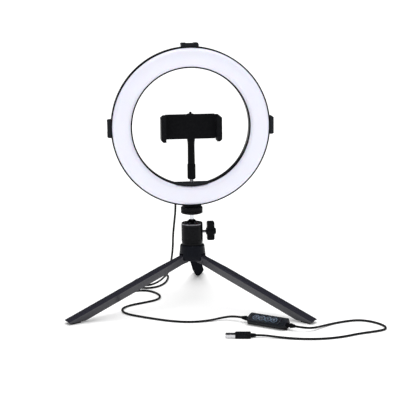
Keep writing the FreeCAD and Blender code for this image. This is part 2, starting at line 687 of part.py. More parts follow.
def clamp_body():
    """Back plate with the fixed jaw, the rods' bores and the socket boss."""
    plate = block(-PLATE_HALF_W, PLATE_HALF_W, PLATE_FRONT, PLATE_BACK, PLATE_Z0, PLATE_Z1)
    corners = [e for e in plate.Edges if abs(e.Vertexes[0].Y - e.Vertexes[-1].Y) > 5]
    plate = plate.makeFillet(2.0, [e for e in corners if e.Vertexes[0].X > 0])
    body = joined([plate, jaw(-1)])
    mid_y = (PLATE_FRONT + PLATE_BACK) / 2
    bores = [tube_x(ROD_R + RUN_FIT, -34.0, PLATE_HALF_W + 1, mid_y, z) for z in ROD_Z]
    spring_bore = tube_x(3.3, -34.0, PLATE_HALF_W + 1, mid_y, 300.0)
    recess = block(-36, 36, PLATE_FRONT - 1, PLATE_FRONT + 0.8, PLATE_Z0 + 4, PLATE_Z1 - 4)
    body = body.cut(bores + [spring_bore, recess])
    body.translate(V(CLAMP_SHIFT, 0, 0))
    boss = tube_y(SOCKET_BOSS_R, PLATE_BACK - 1, -9.0, 0, STEM_BALL_Z)
    body = joined([body, boss])
    return body.cut(Part.makeSphere(STEM_BALL_R + 0.3, V(0, STEM_Y, STEM_BALL_Z)))


def jaw_pad(side):
    """Rubber strip on the inside of a jaw's wall."""
    x0 = side * (JAW_OUT_X - JAW_WALL)
    x1 = x0 - side * 1.2
    pad = block(min(x0, x1), max(x0, x1), JAW_FRONT + JAW_LIP_T + 0.6, PLATE_FRONT - 0.6, JAW_Z0 + 2, JAW_Z1 - 2)
    return pad


def jaw_spring():
    """Return spring behind the sliding jaw, drawn as its separate turns."""
    mid_y = (PLATE_FRONT + PLATE_BACK) / 2
    turns = [Part.makeTorus(2.4, 0.45, V(-30.0 + 3.0 * n, mid_y, 300.0), X) for n in range(24)]
    return Part.makeCompound(turns)


def phone_clamp():
    """All pieces from the stem's collar up to the sliding jaw."""
    mid_y = (PLATE_FRONT + PLATE_BACK) / 2
    write("stem_collar", stem_collar())
    write("stem_rod", stem_rod())
    write("socket_nut", socket_nut())
    write("clamp_body", clamp_body())
    rod_holes = [tube_x(ROD_R, PLATE_HALF_W, PLATE_HALF_W + 7.0, mid_y, z) for z in ROD_Z]
    rods = [tube_x(ROD_R, 0.0, PLATE_HALF_W + 7.0, mid_y, z) for z in ROD_Z]
    pieces = {
        "back_pad": (block(-36, 36, PLATE_FRONT - 0.4, PLATE_FRONT + 0.8, PLATE_Z0 + 4, PLATE_Z1 - 4), 0.0),
        "fixed_jaw_pad": (jaw_pad(-1), 0.0),
        "sliding_jaw": (jaw(1).cut(rod_holes), JAW_GAP),
        "sliding_jaw_pad": (jaw_pad(1), JAW_GAP),
        "guide_rods": (Part.makeCompound(rods), JAW_GAP),
        "jaw_spring": (jaw_spring(), 0.0),
    }
    for name, (shape, gap) in pieces.items():
        shape.translate(V(CLAMP_SHIFT + gap, 0, 0))
        write(name, shape)


# ---------------------------------------------------------------- lead
def cord_tube(name, route):
    """Tube of straight runs joined by tangent arcs through a hand-laid route."""
    points = [V(*p) for p in route]
    edges, radii, start = [], [], points[0]
    for before, corner, after in zip(points, points[1:], points[2:]):
        back, ahead = before - corner, after - corner
        run = min(back.Length, ahead.Length)
        back.normalize()
        ahead.normalize()
        turn = math.pi - back.getAngle(ahead)
        reach = 0.45 * run
        radius = reach / math.tan(turn / 2)
        radii.append(radius)
        enter, leave = corner + back * reach, corner + ahead * reach
        inward = back + ahead
        inward.normalize()
        centre_gap = radius / math.cos(turn / 2)
        middle = corner + inward * (centre_gap - radius)
        edges.append(Part.LineSegment(start, enter).toShape())
        edges.append(Part.Arc(enter, middle, leave).toShape())
        start = leave
    edges.append(Part.LineSegment(start, points[-1]).toShape())
    path = Part.Wire(edges)
    heading = points[1] - points[0]
    profile = Part.Wire([Part.makeCircle(CORD_R, points[0], heading)])
    tube = path.makePipeShell([profile], True, False, 0)
    length = path.Length
    print(name, "radii", [round(r, 1) for r in radii])
    print(name, "length", round(length, 1), "volume over section x length",
          round(tube.Volume / (math.pi * CORD_R ** 2 * length), 4), "lowest", round(tube.BoundBox.ZMin, 3))
    write(name, tube)


def controller_place():
    """Placement of the controller: rolled toward its front edge, turned, resting on the floor."""
    roll = FreeCAD.Rotation(X, CTRL_ROLL)
    heading = FreeCAD.Rotation(Z, CTRL_HEADING)
    return FreeCAD.Placement(V(CTRL_CENTRE[0], CTRL_CENTRE[1], 0), heading * roll)


def controller_shell():
    """Outer shape of the controller, long axis along X, rounded below and along its edges."""
    half_w = CTRL_W / 2
    corners = [
        V(0, -half_w + 4.6, 0), V(0, half_w - 4.6, 0), V(0, half_w - 0.6, 4.2), V(0, half_w, 6.0),
        V(0, half_w, CTRL_H - 1.6), V(0, half_w - 1.6, CTRL_H), V(0, -half_w + 1.6, CTRL_H),
        V(0, -half_w, CTRL_H - 1.6), V(0, -half_w, 6.0), V(0, -half_w + 0.6, 4.2),
    ]
    for corner in corners:
        corner.x = -CTRL_LEN / 2
    face = Part.Face(Part.makePolygon(corners + corners[:1]))
    body = face.extrude(V(CTRL_LEN, 0, 0))
    clip = block(-CTRL_LEN / 2, CTRL_LEN / 2, -half_w, half_w, -1, CTRL_H + 1)
    upright = [e for e in clip.Edges if abs(e.Vertexes[0].Z - e.Vertexes[-1].Z) > 5]
    return body.common(clip.makeFillet(6.0, upright))


def relief(x0, x1, r0, r1):
    """Ribbed, tapered strain relief along X at the controller's mid height."""
    cone = turned_x([(x0, 0), (x0, r0), (x1, r1), (x1, 0)], 0, CTRL_H / 2)
    ribs = []
    for n in range(3):
        x = x0 + (x1 - x0) * (0.3 + 0.22 * n)
        r = r0 + (r1 - r0) * (0.3 + 0.22 * n) - 0.45
        ribs.append(tube_x(6, x - 0.5, x + 0.5, 0, CTRL_H / 2).cut(tube_x(r, x - 1, x + 1, 0, CTRL_H / 2)))
    return cone.cut(ribs)


def controller():
    """Top and base shells, circuit board, four buttons and both strain reliefs."""
    shell = controller_shell()
    wall = 1.5
    half_w = CTRL_W / 2
    room = block(-CTRL_LEN / 2 + 3, CTRL_LEN / 2 - 3, -half_w + 5.0, half_w - 5.0, wall, CTRL_H - wall)
    top = shell.common(block(-40, 40, -20, 20, CTRL_SPLIT, 20)).cut(room)
    base = shell.common(block(-40, 40, -20, 20, -1, CTRL_SPLIT)).cut(room)
    groove = block(24.4, 25.0, -20, 20, CTRL_H - 0.4, 20)
    centres = [BUTTON_FIRST_X + BUTTON_PITCH * n for n in range(len(BUTTON_NAMES))]
    wells = [tube_z(BUTTON_R + 0.15, CTRL_H - 3, CTRL_H + 2, x) for x in centres]
    pieces = {
        "controller_top": top.cut(wells + [groove]),
        "controller_base": base,
        "controller_board": block(-30, 30, -5.6, 5.6, 4.4, 5.6),
        "relief_in": relief(-CTRL_LEN / 2 - RELIEF_LEN, -CTRL_LEN / 2, 2.4, 3.6),
        "relief_out": relief(CTRL_LEN / 2, CTRL_LEN / 2 + RELIEF_LEN, 3.6, 2.4),
    }
    for name, x in zip(BUTTON_NAMES, centres):
        cap = tube_z(BUTTON_R, CTRL_H - 2.4, CTRL_H + 0.7, x)
        rim = [e for e in cap.Edges if abs(e.BoundBox.ZMin - CTRL_H - 0.7) < 0.01 and e.Length > 20]
        pieces["button_" + name] = cap.makeFillet(0.35, rim)
    place = controller_place()
    placed_shell = shell.copy()
    placed_shell.Placement = place.multiply(placed_shell.Placement)
    lift = -placed_shell.optimalBoundingBox(False).ZMin
    place.Base.z = lift
    for name, shape in pieces.items():
        shape.Placement = place.multiply(shape.Placement)
        write(name, shape)
    ends = []
    for x in (-CTRL_LEN / 2 - RELIEF_LEN, CTRL_LEN / 2 + RELIEF_LEN):
        ends.append(place.multVec(V(x, 0, CTRL_H / 2)))
    print("controller lift", round(lift, 3), "lead ends", [tuple(round(c, 2) for c in p) for p in ends])
    print("button axis", [round(c, 4) for c in place.Rotation.multVec(Z)])
    return ends


def plug():
    """Plug body with its tapered tail, metal shell and tongue, laid flat on the floor."""
    half_w, half_h = PLUG_W / 2, PLUG_H / 2
    body = block(0, PLUG_LEN, -half_w, half_w, 0, PLUG_H)
    upright = [e for e in body.Edges if abs(e.Vertexes[0].Z - e.Vertexes[-1].Z) > 5]
    body = body.makeFillet(2.5, upright)
    tail = turned_x([(-8.0, 0), (-8.0, 2.3), (-4.6, 3.0), (0.5, 3.3), (0.5, 0)], 0, half_h)
    body = joined([body, tail])
    shell_outer = block(PLUG_LEN - 5, PLUG_LEN + PLUG_SHELL_LEN, -6, 6, half_h - 2.25, half_h + 2.25)
    shell_inner = block(PLUG_LEN - 6, PLUG_LEN + 20, -5.6, 5.6, half_h - 1.9, half_h + 1.9)
    windows = [
        block(PLUG_LEN + 6.0, PLUG_LEN + 8.4, y - 1.2, y + 1.2, half_h + 1, half_h + 4) for y in (-3.0, 3.0)
    ]
    tongue = block(PLUG_LEN - 3, PLUG_LEN + PLUG_SHELL_LEN - 0.8, -5.55, 5.55, half_h - 1.85, half_h - 0.1)
    pieces = {
        "plug_body": body.cut(shell_outer),
        "plug_shell": shell_outer.cut([shell_inner] + windows),
        "plug_tongue": tongue,
    }
    place = FreeCAD.Placement(V(PLUG_BACK[0], PLUG_BACK[1], 0), FreeCAD.Rotation(Z, PLUG_HEADING))
    for name, shape in pieces.items():
        shape.Placement = place.multiply(shape.Placement)
        write(name, shape)
    return place.multVec(V(-8.0, 0, half_h))


def lead():
    """Both stretches of the lead, the controller between them and the plug."""
    enter, leave = controller()
    tail = plug()
    cord_tube("lead_to_controller", ROUTE_IN + [tuple(enter)])
    cord_tube("lead_to_plug", [tuple(leave)] + ROUTE_OUT + [tuple(tail)])


os.makedirs("parts", exist_ok=True)
tripod()
ball_head()
light_ring()
phone_clamp()
lead()
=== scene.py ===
"""Table-top ring light on a folding tripod, with its phone clamp, lead, controller and plug."""

import json
import logging
import math
from dataclasses import dataclass, field
from enum import Enum

import bpy
import bmesh
from mathutils import Matrix, Vector


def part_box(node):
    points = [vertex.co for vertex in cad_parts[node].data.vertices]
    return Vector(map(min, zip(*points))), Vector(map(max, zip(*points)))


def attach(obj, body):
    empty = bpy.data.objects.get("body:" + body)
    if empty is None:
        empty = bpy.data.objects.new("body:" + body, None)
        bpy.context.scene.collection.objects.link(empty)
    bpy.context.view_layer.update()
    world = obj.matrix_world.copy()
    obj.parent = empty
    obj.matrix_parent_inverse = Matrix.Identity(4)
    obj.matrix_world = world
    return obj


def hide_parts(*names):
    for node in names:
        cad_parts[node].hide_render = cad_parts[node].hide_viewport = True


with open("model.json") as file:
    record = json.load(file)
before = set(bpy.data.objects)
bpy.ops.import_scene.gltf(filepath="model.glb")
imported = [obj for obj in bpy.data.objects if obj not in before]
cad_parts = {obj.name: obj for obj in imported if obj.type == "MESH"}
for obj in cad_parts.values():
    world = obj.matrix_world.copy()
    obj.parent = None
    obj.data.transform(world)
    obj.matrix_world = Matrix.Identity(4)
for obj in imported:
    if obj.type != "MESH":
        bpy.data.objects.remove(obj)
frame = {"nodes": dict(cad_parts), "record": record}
LOG = logging.getLogger("ring_light")
MM = 0.001

# Route of the lead from the ring's gland to the controller, and from there to the plug, in metres.
ROUTE_TO_CONTROLLER: list[tuple[float, float, float]] = [
    (-0.0255, 0.016, 0.171), (-0.0255, 0.016, 0.159), (-0.028, 0.0156, 0.139), (-0.0306, 0.0148, 0.116),
    (-0.031, 0.0174, 0.095), (-0.0326, 0.027, 0.075), (-0.0342, 0.043, 0.056), (-0.0376, 0.062, 0.04),
    (-0.0426, 0.08, 0.029), (-0.0504, 0.096, 0.018), (-0.061, 0.108, 0.01), (-0.0725, 0.117, 0.0068),
    (-0.084, 0.129, 0.0034), (-0.092, 0.143, 0.0018), (-0.093, 0.16, 0.0018), (-0.086, 0.179, 0.0018),
    (-0.073, 0.197, 0.0018), (-0.058, 0.213, 0.0018), (-0.043, 0.221, 0.0018), (-0.03, 0.215, 0.0018),
    (-0.026, 0.199, 0.0018), (-0.0286, 0.179, 0.0018), (-0.033, 0.158, 0.0018), (-0.041, 0.137, 0.0018),
    (-0.054, 0.121, 0.0018), (-0.07, 0.117, 0.0018), (-0.083, 0.1216, 0.0018), (-0.0934, 0.1266, 0.0018),
    (-0.1039, 0.1228, 0.0018), (-0.108, 0.1129, 0.0018), (-0.1036, 0.1029, 0.0018),
    (-0.0934, 0.0994, 0.0018), (-0.081, 0.103, 0.0018), (-0.066, 0.097, 0.0018), (-0.0545, 0.078, 0.0018),
    (-0.05, 0.056, 0.0018), (-0.058, 0.035, 0.0018), (-0.082, 0.0205, 0.0018), (-0.108, 0.006, 0.0018),
    (-0.121, -0.015, 0.0018), (-0.115, -0.043, 0.0018), (-0.091, -0.064, 0.0018), (-0.072, -0.0786, 0.0018),
    (-0.047, -0.096, 0.0018), (-0.016, -0.108, 0.0018), (0.016, -0.104, 0.002), (0.04, -0.097, 0.0046),
    (0.05543, -0.10436, 0.00769), (0.0662, -0.11331, 0.00769),
]
ROUTE_TO_PLUG: list[tuple[float, float, float]] = [
    (0.14083, -0.17527, 0.00769), (0.14929, -0.1823, 0.00769), (0.1605, -0.1823, 0.0062),
    (0.1705, -0.176, 0.0044), (0.1855, -0.163, 0.0028), (0.204, -0.149, 0.0018), (0.226, -0.1395, 0.0018),
    (0.248, -0.1345, 0.0018), (0.267, -0.145, 0.0018), (0.282, -0.17, 0.0018), (0.28, -0.192, 0.0018),
    (0.257, -0.201, 0.0018), (0.232, -0.208, 0.0018), (0.204, -0.2215, 0.0018), (0.171, -0.227, 0.0018),
    (0.139, -0.222, 0.0018), (0.108, -0.21, 0.0024), (0.0882, -0.20125, 0.00375),
    (0.07631, -0.19948, 0.00375),
]


class Body(str, Enum):
    """The moving groups that new pieces ride on."""

    STAND = "stand"
    LIGHT = "light"
    CLAMP = "clamp"
    JAW = "jaw"
    KNOB = "head_knob"


class Axis(Enum):
    """Directions that a turned piece or a pattern can follow."""

    X = Vector((1.0, 0.0, 0.0))
    Y = Vector((0.0, 1.0, 0.0))
    Z = Vector((0.0, 0.0, 1.0))


# ---------------------------------------------------------------- shared surface effects
class Effects:
    """Node groups shared by the finishes, each built once."""

    _built: dict[str, bpy.types.NodeTree] = {}

    @classmethod
    def _group(cls, name: str, inputs: dict[str, float], outputs: list[str]) -> tuple:
        """Start a group with a Vector input, number inputs and value outputs.

        Args:
            name: name of the group.
            inputs: number inputs and their usual values.
            outputs: names of the value outputs.

        Returns:
            The group, its input node and its output node.
        """
        tree = bpy.data.node_groups.new(name, "ShaderNodeTree")
        tree.interface.new_socket(name="Vector", in_out="INPUT", socket_type="NodeSocketVector")
        for key, value in inputs.items():
            socket = tree.interface.new_socket(name=key, in_out="INPUT", socket_type="NodeSocketFloat")
            socket.default_value = value
        for key in outputs:
            tree.interface.new_socket(name=key, in_out="OUTPUT", socket_type="NodeSocketFloat")
        cls._built[name] = tree
        return tree, tree.nodes.new("NodeGroupInput"), tree.nodes.new("NodeGroupOutput")

    @staticmethod
    def _noise(tree: bpy.types.NodeTree, detail: float, rough: float) -> bpy.types.Node:
        """Noise node with set detail inside a tree."""
        node = tree.nodes.new("ShaderNodeTexNoise")
        node.inputs["Detail"].default_value = detail
        node.inputs["Roughness"].default_value = rough
        return node

    @staticmethod
    def _ramp(tree: bpy.types.NodeTree, low: float, high: float) -> bpy.types.Node:
        """Smooth step between two values inside a tree."""
        node = tree.nodes.new("ShaderNodeMapRange")
        node.interpolation_type = "SMOOTHSTEP"
        node.inputs["From Min"].default_value = low
        node.inputs["From Max"].default_value = high
        return node

    @staticmethod
    def _product(tree: bpy.types.NodeTree, a: bpy.types.NodeSocket,
                 b: bpy.types.NodeSocket) -> bpy.types.NodeSocket:
        """Product of two values inside a tree."""
        node = tree.nodes.new("ShaderNodeMath")
        node.operation = "MULTIPLY"
        tree.links.new(a, node.inputs[0])
        tree.links.new(b, node.inputs[1])
        return node.outputs[0]

    @classmethod
    def _patchy(cls, tree: bpy.types.NodeTree, entry: bpy.types.Node, mask: bpy.types.NodeSocket,
                noise: tuple[float, float], band: tuple[float, float]) -> bpy.types.NodeSocket:
        """Break a mask up by noise and scale it by the group's Amount.

        Args:
            tree: the group.
            entry: its input node.
            mask: the mask to break up.
            noise: detail and roughness of the noise.
            band: noise values where a patch starts and where it is full.

        Returns:
            The broken mask.
        """
        patch = cls._noise(tree, *noise)
        broken = cls._ramp(tree, *band)
        tree.links.new(entry.outputs["Vector"], patch.inputs["Vector"])
        tree.links.new(entry.outputs["Scale"], patch.inputs["Scale"])
        tree.links.new(patch.outputs["Fac"], broken.inputs["Value"])
        both = cls._product(tree, mask, broken.outputs["Result"])
        return cls._product(tree, both, entry.outputs["Amount"])

    @classmethod
    def grain(cls) -> bpy.types.NodeTree:
        """Fine moulded texture: small pits and bumps as a height, and the same as a tone."""
        if "MouldedGrain" in cls._built:
            return cls._built["MouldedGrain"]
        tree, entry, leave = cls._group("MouldedGrain", {"Scale": 1500.0, "Depth": 0.5}, ["Height", "Tone"])
        pits = tree.nodes.new("ShaderNodeTexVoronoi")
        pits.feature = "SMOOTH_F1"
        fine = cls._noise(tree, 3.0, 0.6)
        mix = tree.nodes.new("ShaderNodeMath")
        mix.operation = "MULTIPLY_ADD"
        link = tree.links.new
        for node in (pits, fine):
            link(entry.outputs["Vector"], node.inputs["Vector"])
            link(entry.outputs["Scale"], node.inputs["Scale"])
        link(pits.outputs["Distance"], mix.inputs[0])
        mix.inputs[1].default_value = 0.6
        link(fine.outputs["Fac"], mix.inputs[2])
        link(cls._product(tree, mix.outputs[0], entry.outputs["Depth"]), leave.inputs["Height"])
        link(fine.outputs["Fac"], leave.inputs["Tone"])
        return tree

    @classmethod
    def wear(cls) -> bpy.types.NodeTree:
        """Rubbed edges: sharp convex edges, broken up by noise, as a mask."""
        if "EdgeWear" in cls._built:
            return cls._built["EdgeWear"]
        tree, entry, leave = cls._group("EdgeWear", {"Scale": 300.0, "Amount": 0.3}, ["Mask"])
        geometry = tree.nodes.new("ShaderNodeNewGeometry")
        edge = cls._ramp(tree, 0.52, 0.62)
        tree.links.new(geometry.outputs["Pointiness"], edge.inputs["Value"])
        mask = cls._patchy(tree, entry, edge.outputs["Result"], (4.0, 0.65), (0.4, 0.65))
        tree.links.new(mask, leave.inputs["Mask"])
        return tree

    @classmethod
    def dust(cls) -> bpy.types.NodeTree:
        """Thin dust that settles in patches on faces that look up, as a mask."""
        if "SettledDust" in cls._built:
            return cls._built["SettledDust"]
        tree, entry, leave = cls._group("SettledDust", {"Scale": 60.0, "Amount": 0.1}, ["Mask"])
        geometry = tree.nodes.new("ShaderNodeNewGeometry")
        split = tree.nodes.new("ShaderNodeSeparateXYZ")
        facing = cls._ramp(tree, 0.3, 0.95)
        tree.links.new(geometry.outputs["Normal"], split.inputs[0])
        tree.links.new(split.outputs["Z"], facing.inputs["Value"])
        mask = cls._patchy(tree, entry, facing.outputs["Result"], (6.0, 0.7), (0.42, 0.72))
        tree.links.new(mask, leave.inputs["Mask"])
        return tree

    @classmethod
    def handling(cls) -> bpy.types.NodeTree:
        """Broad cloudy marks of handling and fine hair scratches, as a 0 to 1 value."""
        if "Handling" in cls._built:
            return cls._built["Handling"]
        tree, entry, leave = cls._group("Handling", {"Scale": 40.0, "Scratch": 0.3}, ["Value"])
        cloud = cls._noise(tree, 5.0, 0.55)
        stretch = tree.nodes.new("ShaderNodeMapping")
        stretch.inputs["Scale"].default_value = (1.0, 0.06, 1.0)
        stretch.inputs["Rotation"].default_value = (0.3, 0.5, 0.7)
        hair = cls._noise(tree, 2.0, 0.5)
        hair.inputs["Scale"].default_value = 2400.0
        thin = cls._ramp(tree, 0.66, 0.74)
        add = tree.nodes.new("ShaderNodeMath")
        add.operation = "ADD"
        add.use_clamp = True
        link = tree.links.new
        link(entry.outputs["Vector"], cloud.inputs["Vector"])
        link(entry.outputs["Scale"], cloud.inputs["Scale"])
        link(entry.outputs["Vector"], stretch.inputs["Vector"])
        link(stretch.outputs["Vector"], hair.inputs["Vector"])
        link(hair.outputs["Fac"], thin.inputs["Value"])
        link(cloud.outputs["Fac"], add.inputs[0])
        link(cls._product(tree, thin.outputs["Result"], entry.outputs["Scratch"]), add.inputs[1])
        link(add.outputs[0], leave.inputs["Value"])
        return tree


# ---------------------------------------------------------------- finishes
@dataclass(frozen=True)
class Finish:
    """One surface finish, made of the shared effects and one Principled shader.

    Attributes:
        name: name of the material.
        colour: main colour.
        tone: second colour that the grain and handling marks drift toward.
        worn: colour of rubbed edges.
        rough: lowest and highest roughness.
        metallic: 0 for plastics, 1 for bare metal.
        grain: size of the moulded grain in millimetres.
        depth: strength of the grain's bump.
        wear: amount of edge wear.
        dust: amount of settled dust.
        scratch: amount of hair scratches.
        coat: clear gloss over the surface.
        specular: specular level.
        shine: tint of the reflections.
    """

    name: str
    colour: tuple[float, float, float]
    tone: tuple[float, float, float]
    worn: tuple[float, float, float] = (0.12, 0.12, 0.13)
    rough: tuple[float, float] = (0.3, 0.45)
    metallic: float = 0.0
    grain: float = 0.6
    depth: float = 0.12
    wear: float = 0.25
    dust: float = 0.05
    scratch: float = 0.2
    coat: float = 0.0
    specular: float = 0.5
    shine: tuple[float, float, float] = (1.0, 1.0, 1.0)

    def material(self) -> bpy.types.Material:
        """The finished material, built on first use."""
        found = bpy.data.materials.get(self.name)
        return found if found else self._build()

    def _effect(self, tree: bpy.types.NodeTree, group: bpy.types.NodeTree,
                **values: float) -> bpy.types.Node:
        """Place a shared effect in this material with its own values.

        Args:
            tree: the material's nodes.
            group: the shared effect.
            values: its number inputs.

        Returns:
            The group node.
        """
        node = tree.nodes.new("ShaderNodeGroup")
        node.node_tree = group
        for key, value in values.items():
            node.inputs[key].default_value = value
        return node

    def _mix(self, tree: bpy.types.NodeTree, mask: bpy.types.NodeSocket, a: object,
             b: object) -> bpy.types.NodeSocket:
        """Colour between a and b by a mask.

        Args:
            tree: the material's nodes.
            mask: mask output.
            a: socket or colour at mask 0.
            b: colour at mask 1.

        Returns:
            The mixed colour's output.
        """
        node = tree.nodes.new("ShaderNodeMix")
        node.data_type = "RGBA"
        tree.links.new(mask, node.inputs["Factor"])
        colour_a, colour_b = node.inputs[6], node.inputs[7]
        if isinstance(a, bpy.types.NodeSocket):
            tree.links.new(a, colour_a)
        else:
            colour_a.default_value = (*a, 1.0)
        colour_b.default_value = (*b, 1.0)
        return node.outputs[2]

    def _build(self) -> bpy.types.Material:
        """Build the node tree."""
        material = bpy.data.materials.new(self.name)
        material.use_nodes = True
        tree = material.node_tree
        tree.nodes.clear()
        output = tree.nodes.new("ShaderNodeOutputMaterial")
        shader = tree.nodes.new("ShaderNodeBsdfPrincipled")
        place = tree.nodes.new("ShaderNodeTexCoord").outputs["Object"]
        grain = self._effect(tree, Effects.grain(), Scale=1.0 / (self.grain * MM), Depth=1.0)
        wear = self._effect(tree, Effects.wear(), Amount=self.wear)
        dust = self._effect(tree, Effects.dust(), Amount=self.dust)
        handling = self._effect(tree, Effects.handling(), Scratch=self.scratch)
        link = tree.links.new
        for node in (grain, wear, dust, handling):
            link(place, node.inputs["Vector"])
        drift = tree.nodes.new("ShaderNodeMath")
        drift.operation = "MULTIPLY"
        link(grain.outputs["Tone"], drift.inputs[0])
        link(handling.outputs["Value"], drift.inputs[1])
        colour = self._mix(tree, drift.outputs[0], self.colour, self.tone)
        colour = self._mix(tree, wear.outputs["Mask"], colour, self.worn)
        colour = self._mix(tree, dust.outputs["Mask"], colour, (0.42, 0.4, 0.38))
        colour = self._extra_colour(tree, place, colour)
        link(colour, shader.inputs["Base Color"])
        rough = tree.nodes.new("ShaderNodeMapRange")
        rough.inputs["From Min"].default_value = 0.25
        rough.inputs["From Max"].default_value = 0.8
        rough.inputs["To Min"].default_value = self.rough[0]
        rough.inputs["To Max"].default_value = self.rough[1]
        link(handling.outputs["Value"], rough.inputs["Value"])
        link(rough.outputs["Result"], shader.inputs["Roughness"])
        bump = tree.nodes.new("ShaderNodeBump")
        bump.inputs["Strength"].default_value = self.depth
        bump.inputs["Distance"].default_value = 0.2 * MM
        link(self._height(tree, place, grain.outputs["Height"]), bump.inputs["Height"])
        link(bump.outputs["Normal"], shader.inputs["Normal"])
        shader.inputs["Metallic"].default_value = self.metallic
        shader.inputs["Coat Weight"].default_value = self.coat
        shader.inputs["Coat Roughness"].default_value = 0.08
        shader.inputs["Specular IOR Level"].default_value = self.specular
        shader.inputs["Specular Tint"].default_value = (*self.shine, 1.0)
        self._finish_shader(tree, shader, place)
        link(shader.outputs["BSDF"], output.inputs["Surface"])
        return material

    def _extra_colour(self, tree: bpy.types.NodeTree, place: bpy.types.NodeSocket,
                      colour: bpy.types.NodeSocket) -> bpy.types.NodeSocket:
        """Hook for a finish that paints more over the colour."""
        return colour

    def _height(self, tree: bpy.types.NodeTree, place: bpy.types.NodeSocket,
                height: bpy.types.NodeSocket) -> bpy.types.NodeSocket:
        """Hook for a finish that adds its own relief."""
        return height

    def _finish_shader(self, tree: bpy.types.NodeTree, shader: bpy.types.Node,
                       place: bpy.types.NodeSocket) -> None:
        """Hook for a finish that sets more of the shader."""


@dataclass(frozen=True)
class MilkyLens(Finish):
    """Milky lens with painted light: an emission glow, brightest along the middle of the ring and fading
    toward both rims, paints light and shade on the domed lens.
    """

    centre: tuple[float, float, float] = (0.0, 0.0, 0.0)
    # Strength of the painted glow: emission that stands in for the light on the lens.
    glow: float = 0.3

    def _finish_shader(self, tree: bpy.types.NodeTree, shader: bpy.types.Node,
                       place: bpy.types.NodeSocket) -> None:
        """Paint light on the lens as emission, strongest along the middle of the ring and fading to
        lavender shade at both rims.
        """
        centred = tree.nodes.new("ShaderNodeMapping")
        centred.inputs["Location"].default_value = (-self.centre[0], 0.0, -self.centre[2])
        centred.inputs["Scale"].default_value = (1.0, 0.0, 1.0)
        radius = tree.nodes.new("ShaderNodeVectorMath")
        radius.operation = "LENGTH"
        rise = tree.nodes.new("ShaderNodeMapRange")
        rise.interpolation_type = "SMOOTHSTEP"
        rise.inputs["From Min"].default_value = 0.094
        rise.inputs["From Max"].default_value = 0.1045
        fall = tree.nodes.new("ShaderNodeMapRange")
        fall.interpolation_type = "SMOOTHSTEP"
        fall.inputs["From Min"].default_value = 0.1305
        fall.inputs["From Max"].default_value = 0.12
        both = tree.nodes.new("ShaderNodeMath")
        both.operation = "MULTIPLY"
        tint = tree.nodes.new("ShaderNodeMix")
        tint.data_type = "RGBA"
        tint.inputs[6].default_value = (0.62, 0.6, 0.78, 1.0)
        tint.inputs[7].default_value = (0.93, 0.92, 1.0, 1.0)
        link = tree.links.new
        link(place, centred.inputs["Vector"])
        link(centred.outputs["Vector"], radius.inputs[0])
        for node in (rise, fall):
            link(radius.outputs["Value"], node.inputs["Value"])
        link(rise.outputs["Result"], both.inputs[0])
        link(fall.outputs["Result"], both.inputs[1])
        link(both.outputs[0], tint.inputs["Factor"])
        # Painted light and shade: the emission colour runs from lavender shade at the rims to near white
        # along the middle.
        link(tint.outputs[2], shader.inputs["Emission Color"])
        shader.inputs["Emission Strength"].default_value = self.glow
        shader.inputs["Subsurface Weight"].default_value = 0.15
        shader.inputs["Subsurface Scale"].default_value = 0.004


@dataclass(frozen=True)
class BallAndNeck(Finish):
    """Black ball under a bright turned neck, split at one height."""

    split: float = 0.1465

    def _extra_colour(self, tree: bpy.types.NodeTree, place: bpy.types.NodeSocket,
                      colour: bpy.types.NodeSocket) -> bpy.types.NodeSocket:
        """Darken everything below the split."""
        height = tree.nodes.new("ShaderNodeSeparateXYZ")
        edge = Effects._ramp(tree, self.split + 0.0006, self.split)
        tree.links.new(place, height.inputs[0])
        tree.links.new(height.outputs["Z"], edge.inputs["Value"])
        return self._mix(tree, edge.outputs["Result"], colour, (0.035, 0.036, 0.04))


@dataclass(frozen=True)
class TurnedMetal(Finish):
    """Metal turned on a lathe: fine rings round the piece's axis."""

    pitch: float = 0.35
    along: Axis = Axis.Z

    def _height(self, tree: bpy.types.NodeTree, place: bpy.types.NodeSocket,
                height: bpy.types.NodeSocket) -> bpy.types.NodeSocket:
        """Add the tool marks, which change only along the axis."""
        keep = tree.nodes.new("ShaderNodeMapping")
        keep.inputs["Scale"].default_value = self.along.value
        marks = tree.nodes.new("ShaderNodeTexNoise")
        marks.inputs["Scale"].default_value = 1.0 / (self.pitch * MM)
        marks.inputs["Detail"].default_value = 2.0
        add = tree.nodes.new("ShaderNodeMath")
        add.operation = "ADD"
        tree.links.new(place, keep.inputs["Vector"])
        tree.links.new(keep.outputs["Vector"], marks.inputs["Vector"])
        tree.links.new(marks.outputs["Fac"], add.inputs[0])
        tree.links.new(height, add.inputs[1])
        return add.outputs[0]


BLACK = (0.0035, 0.0037, 0.0047)


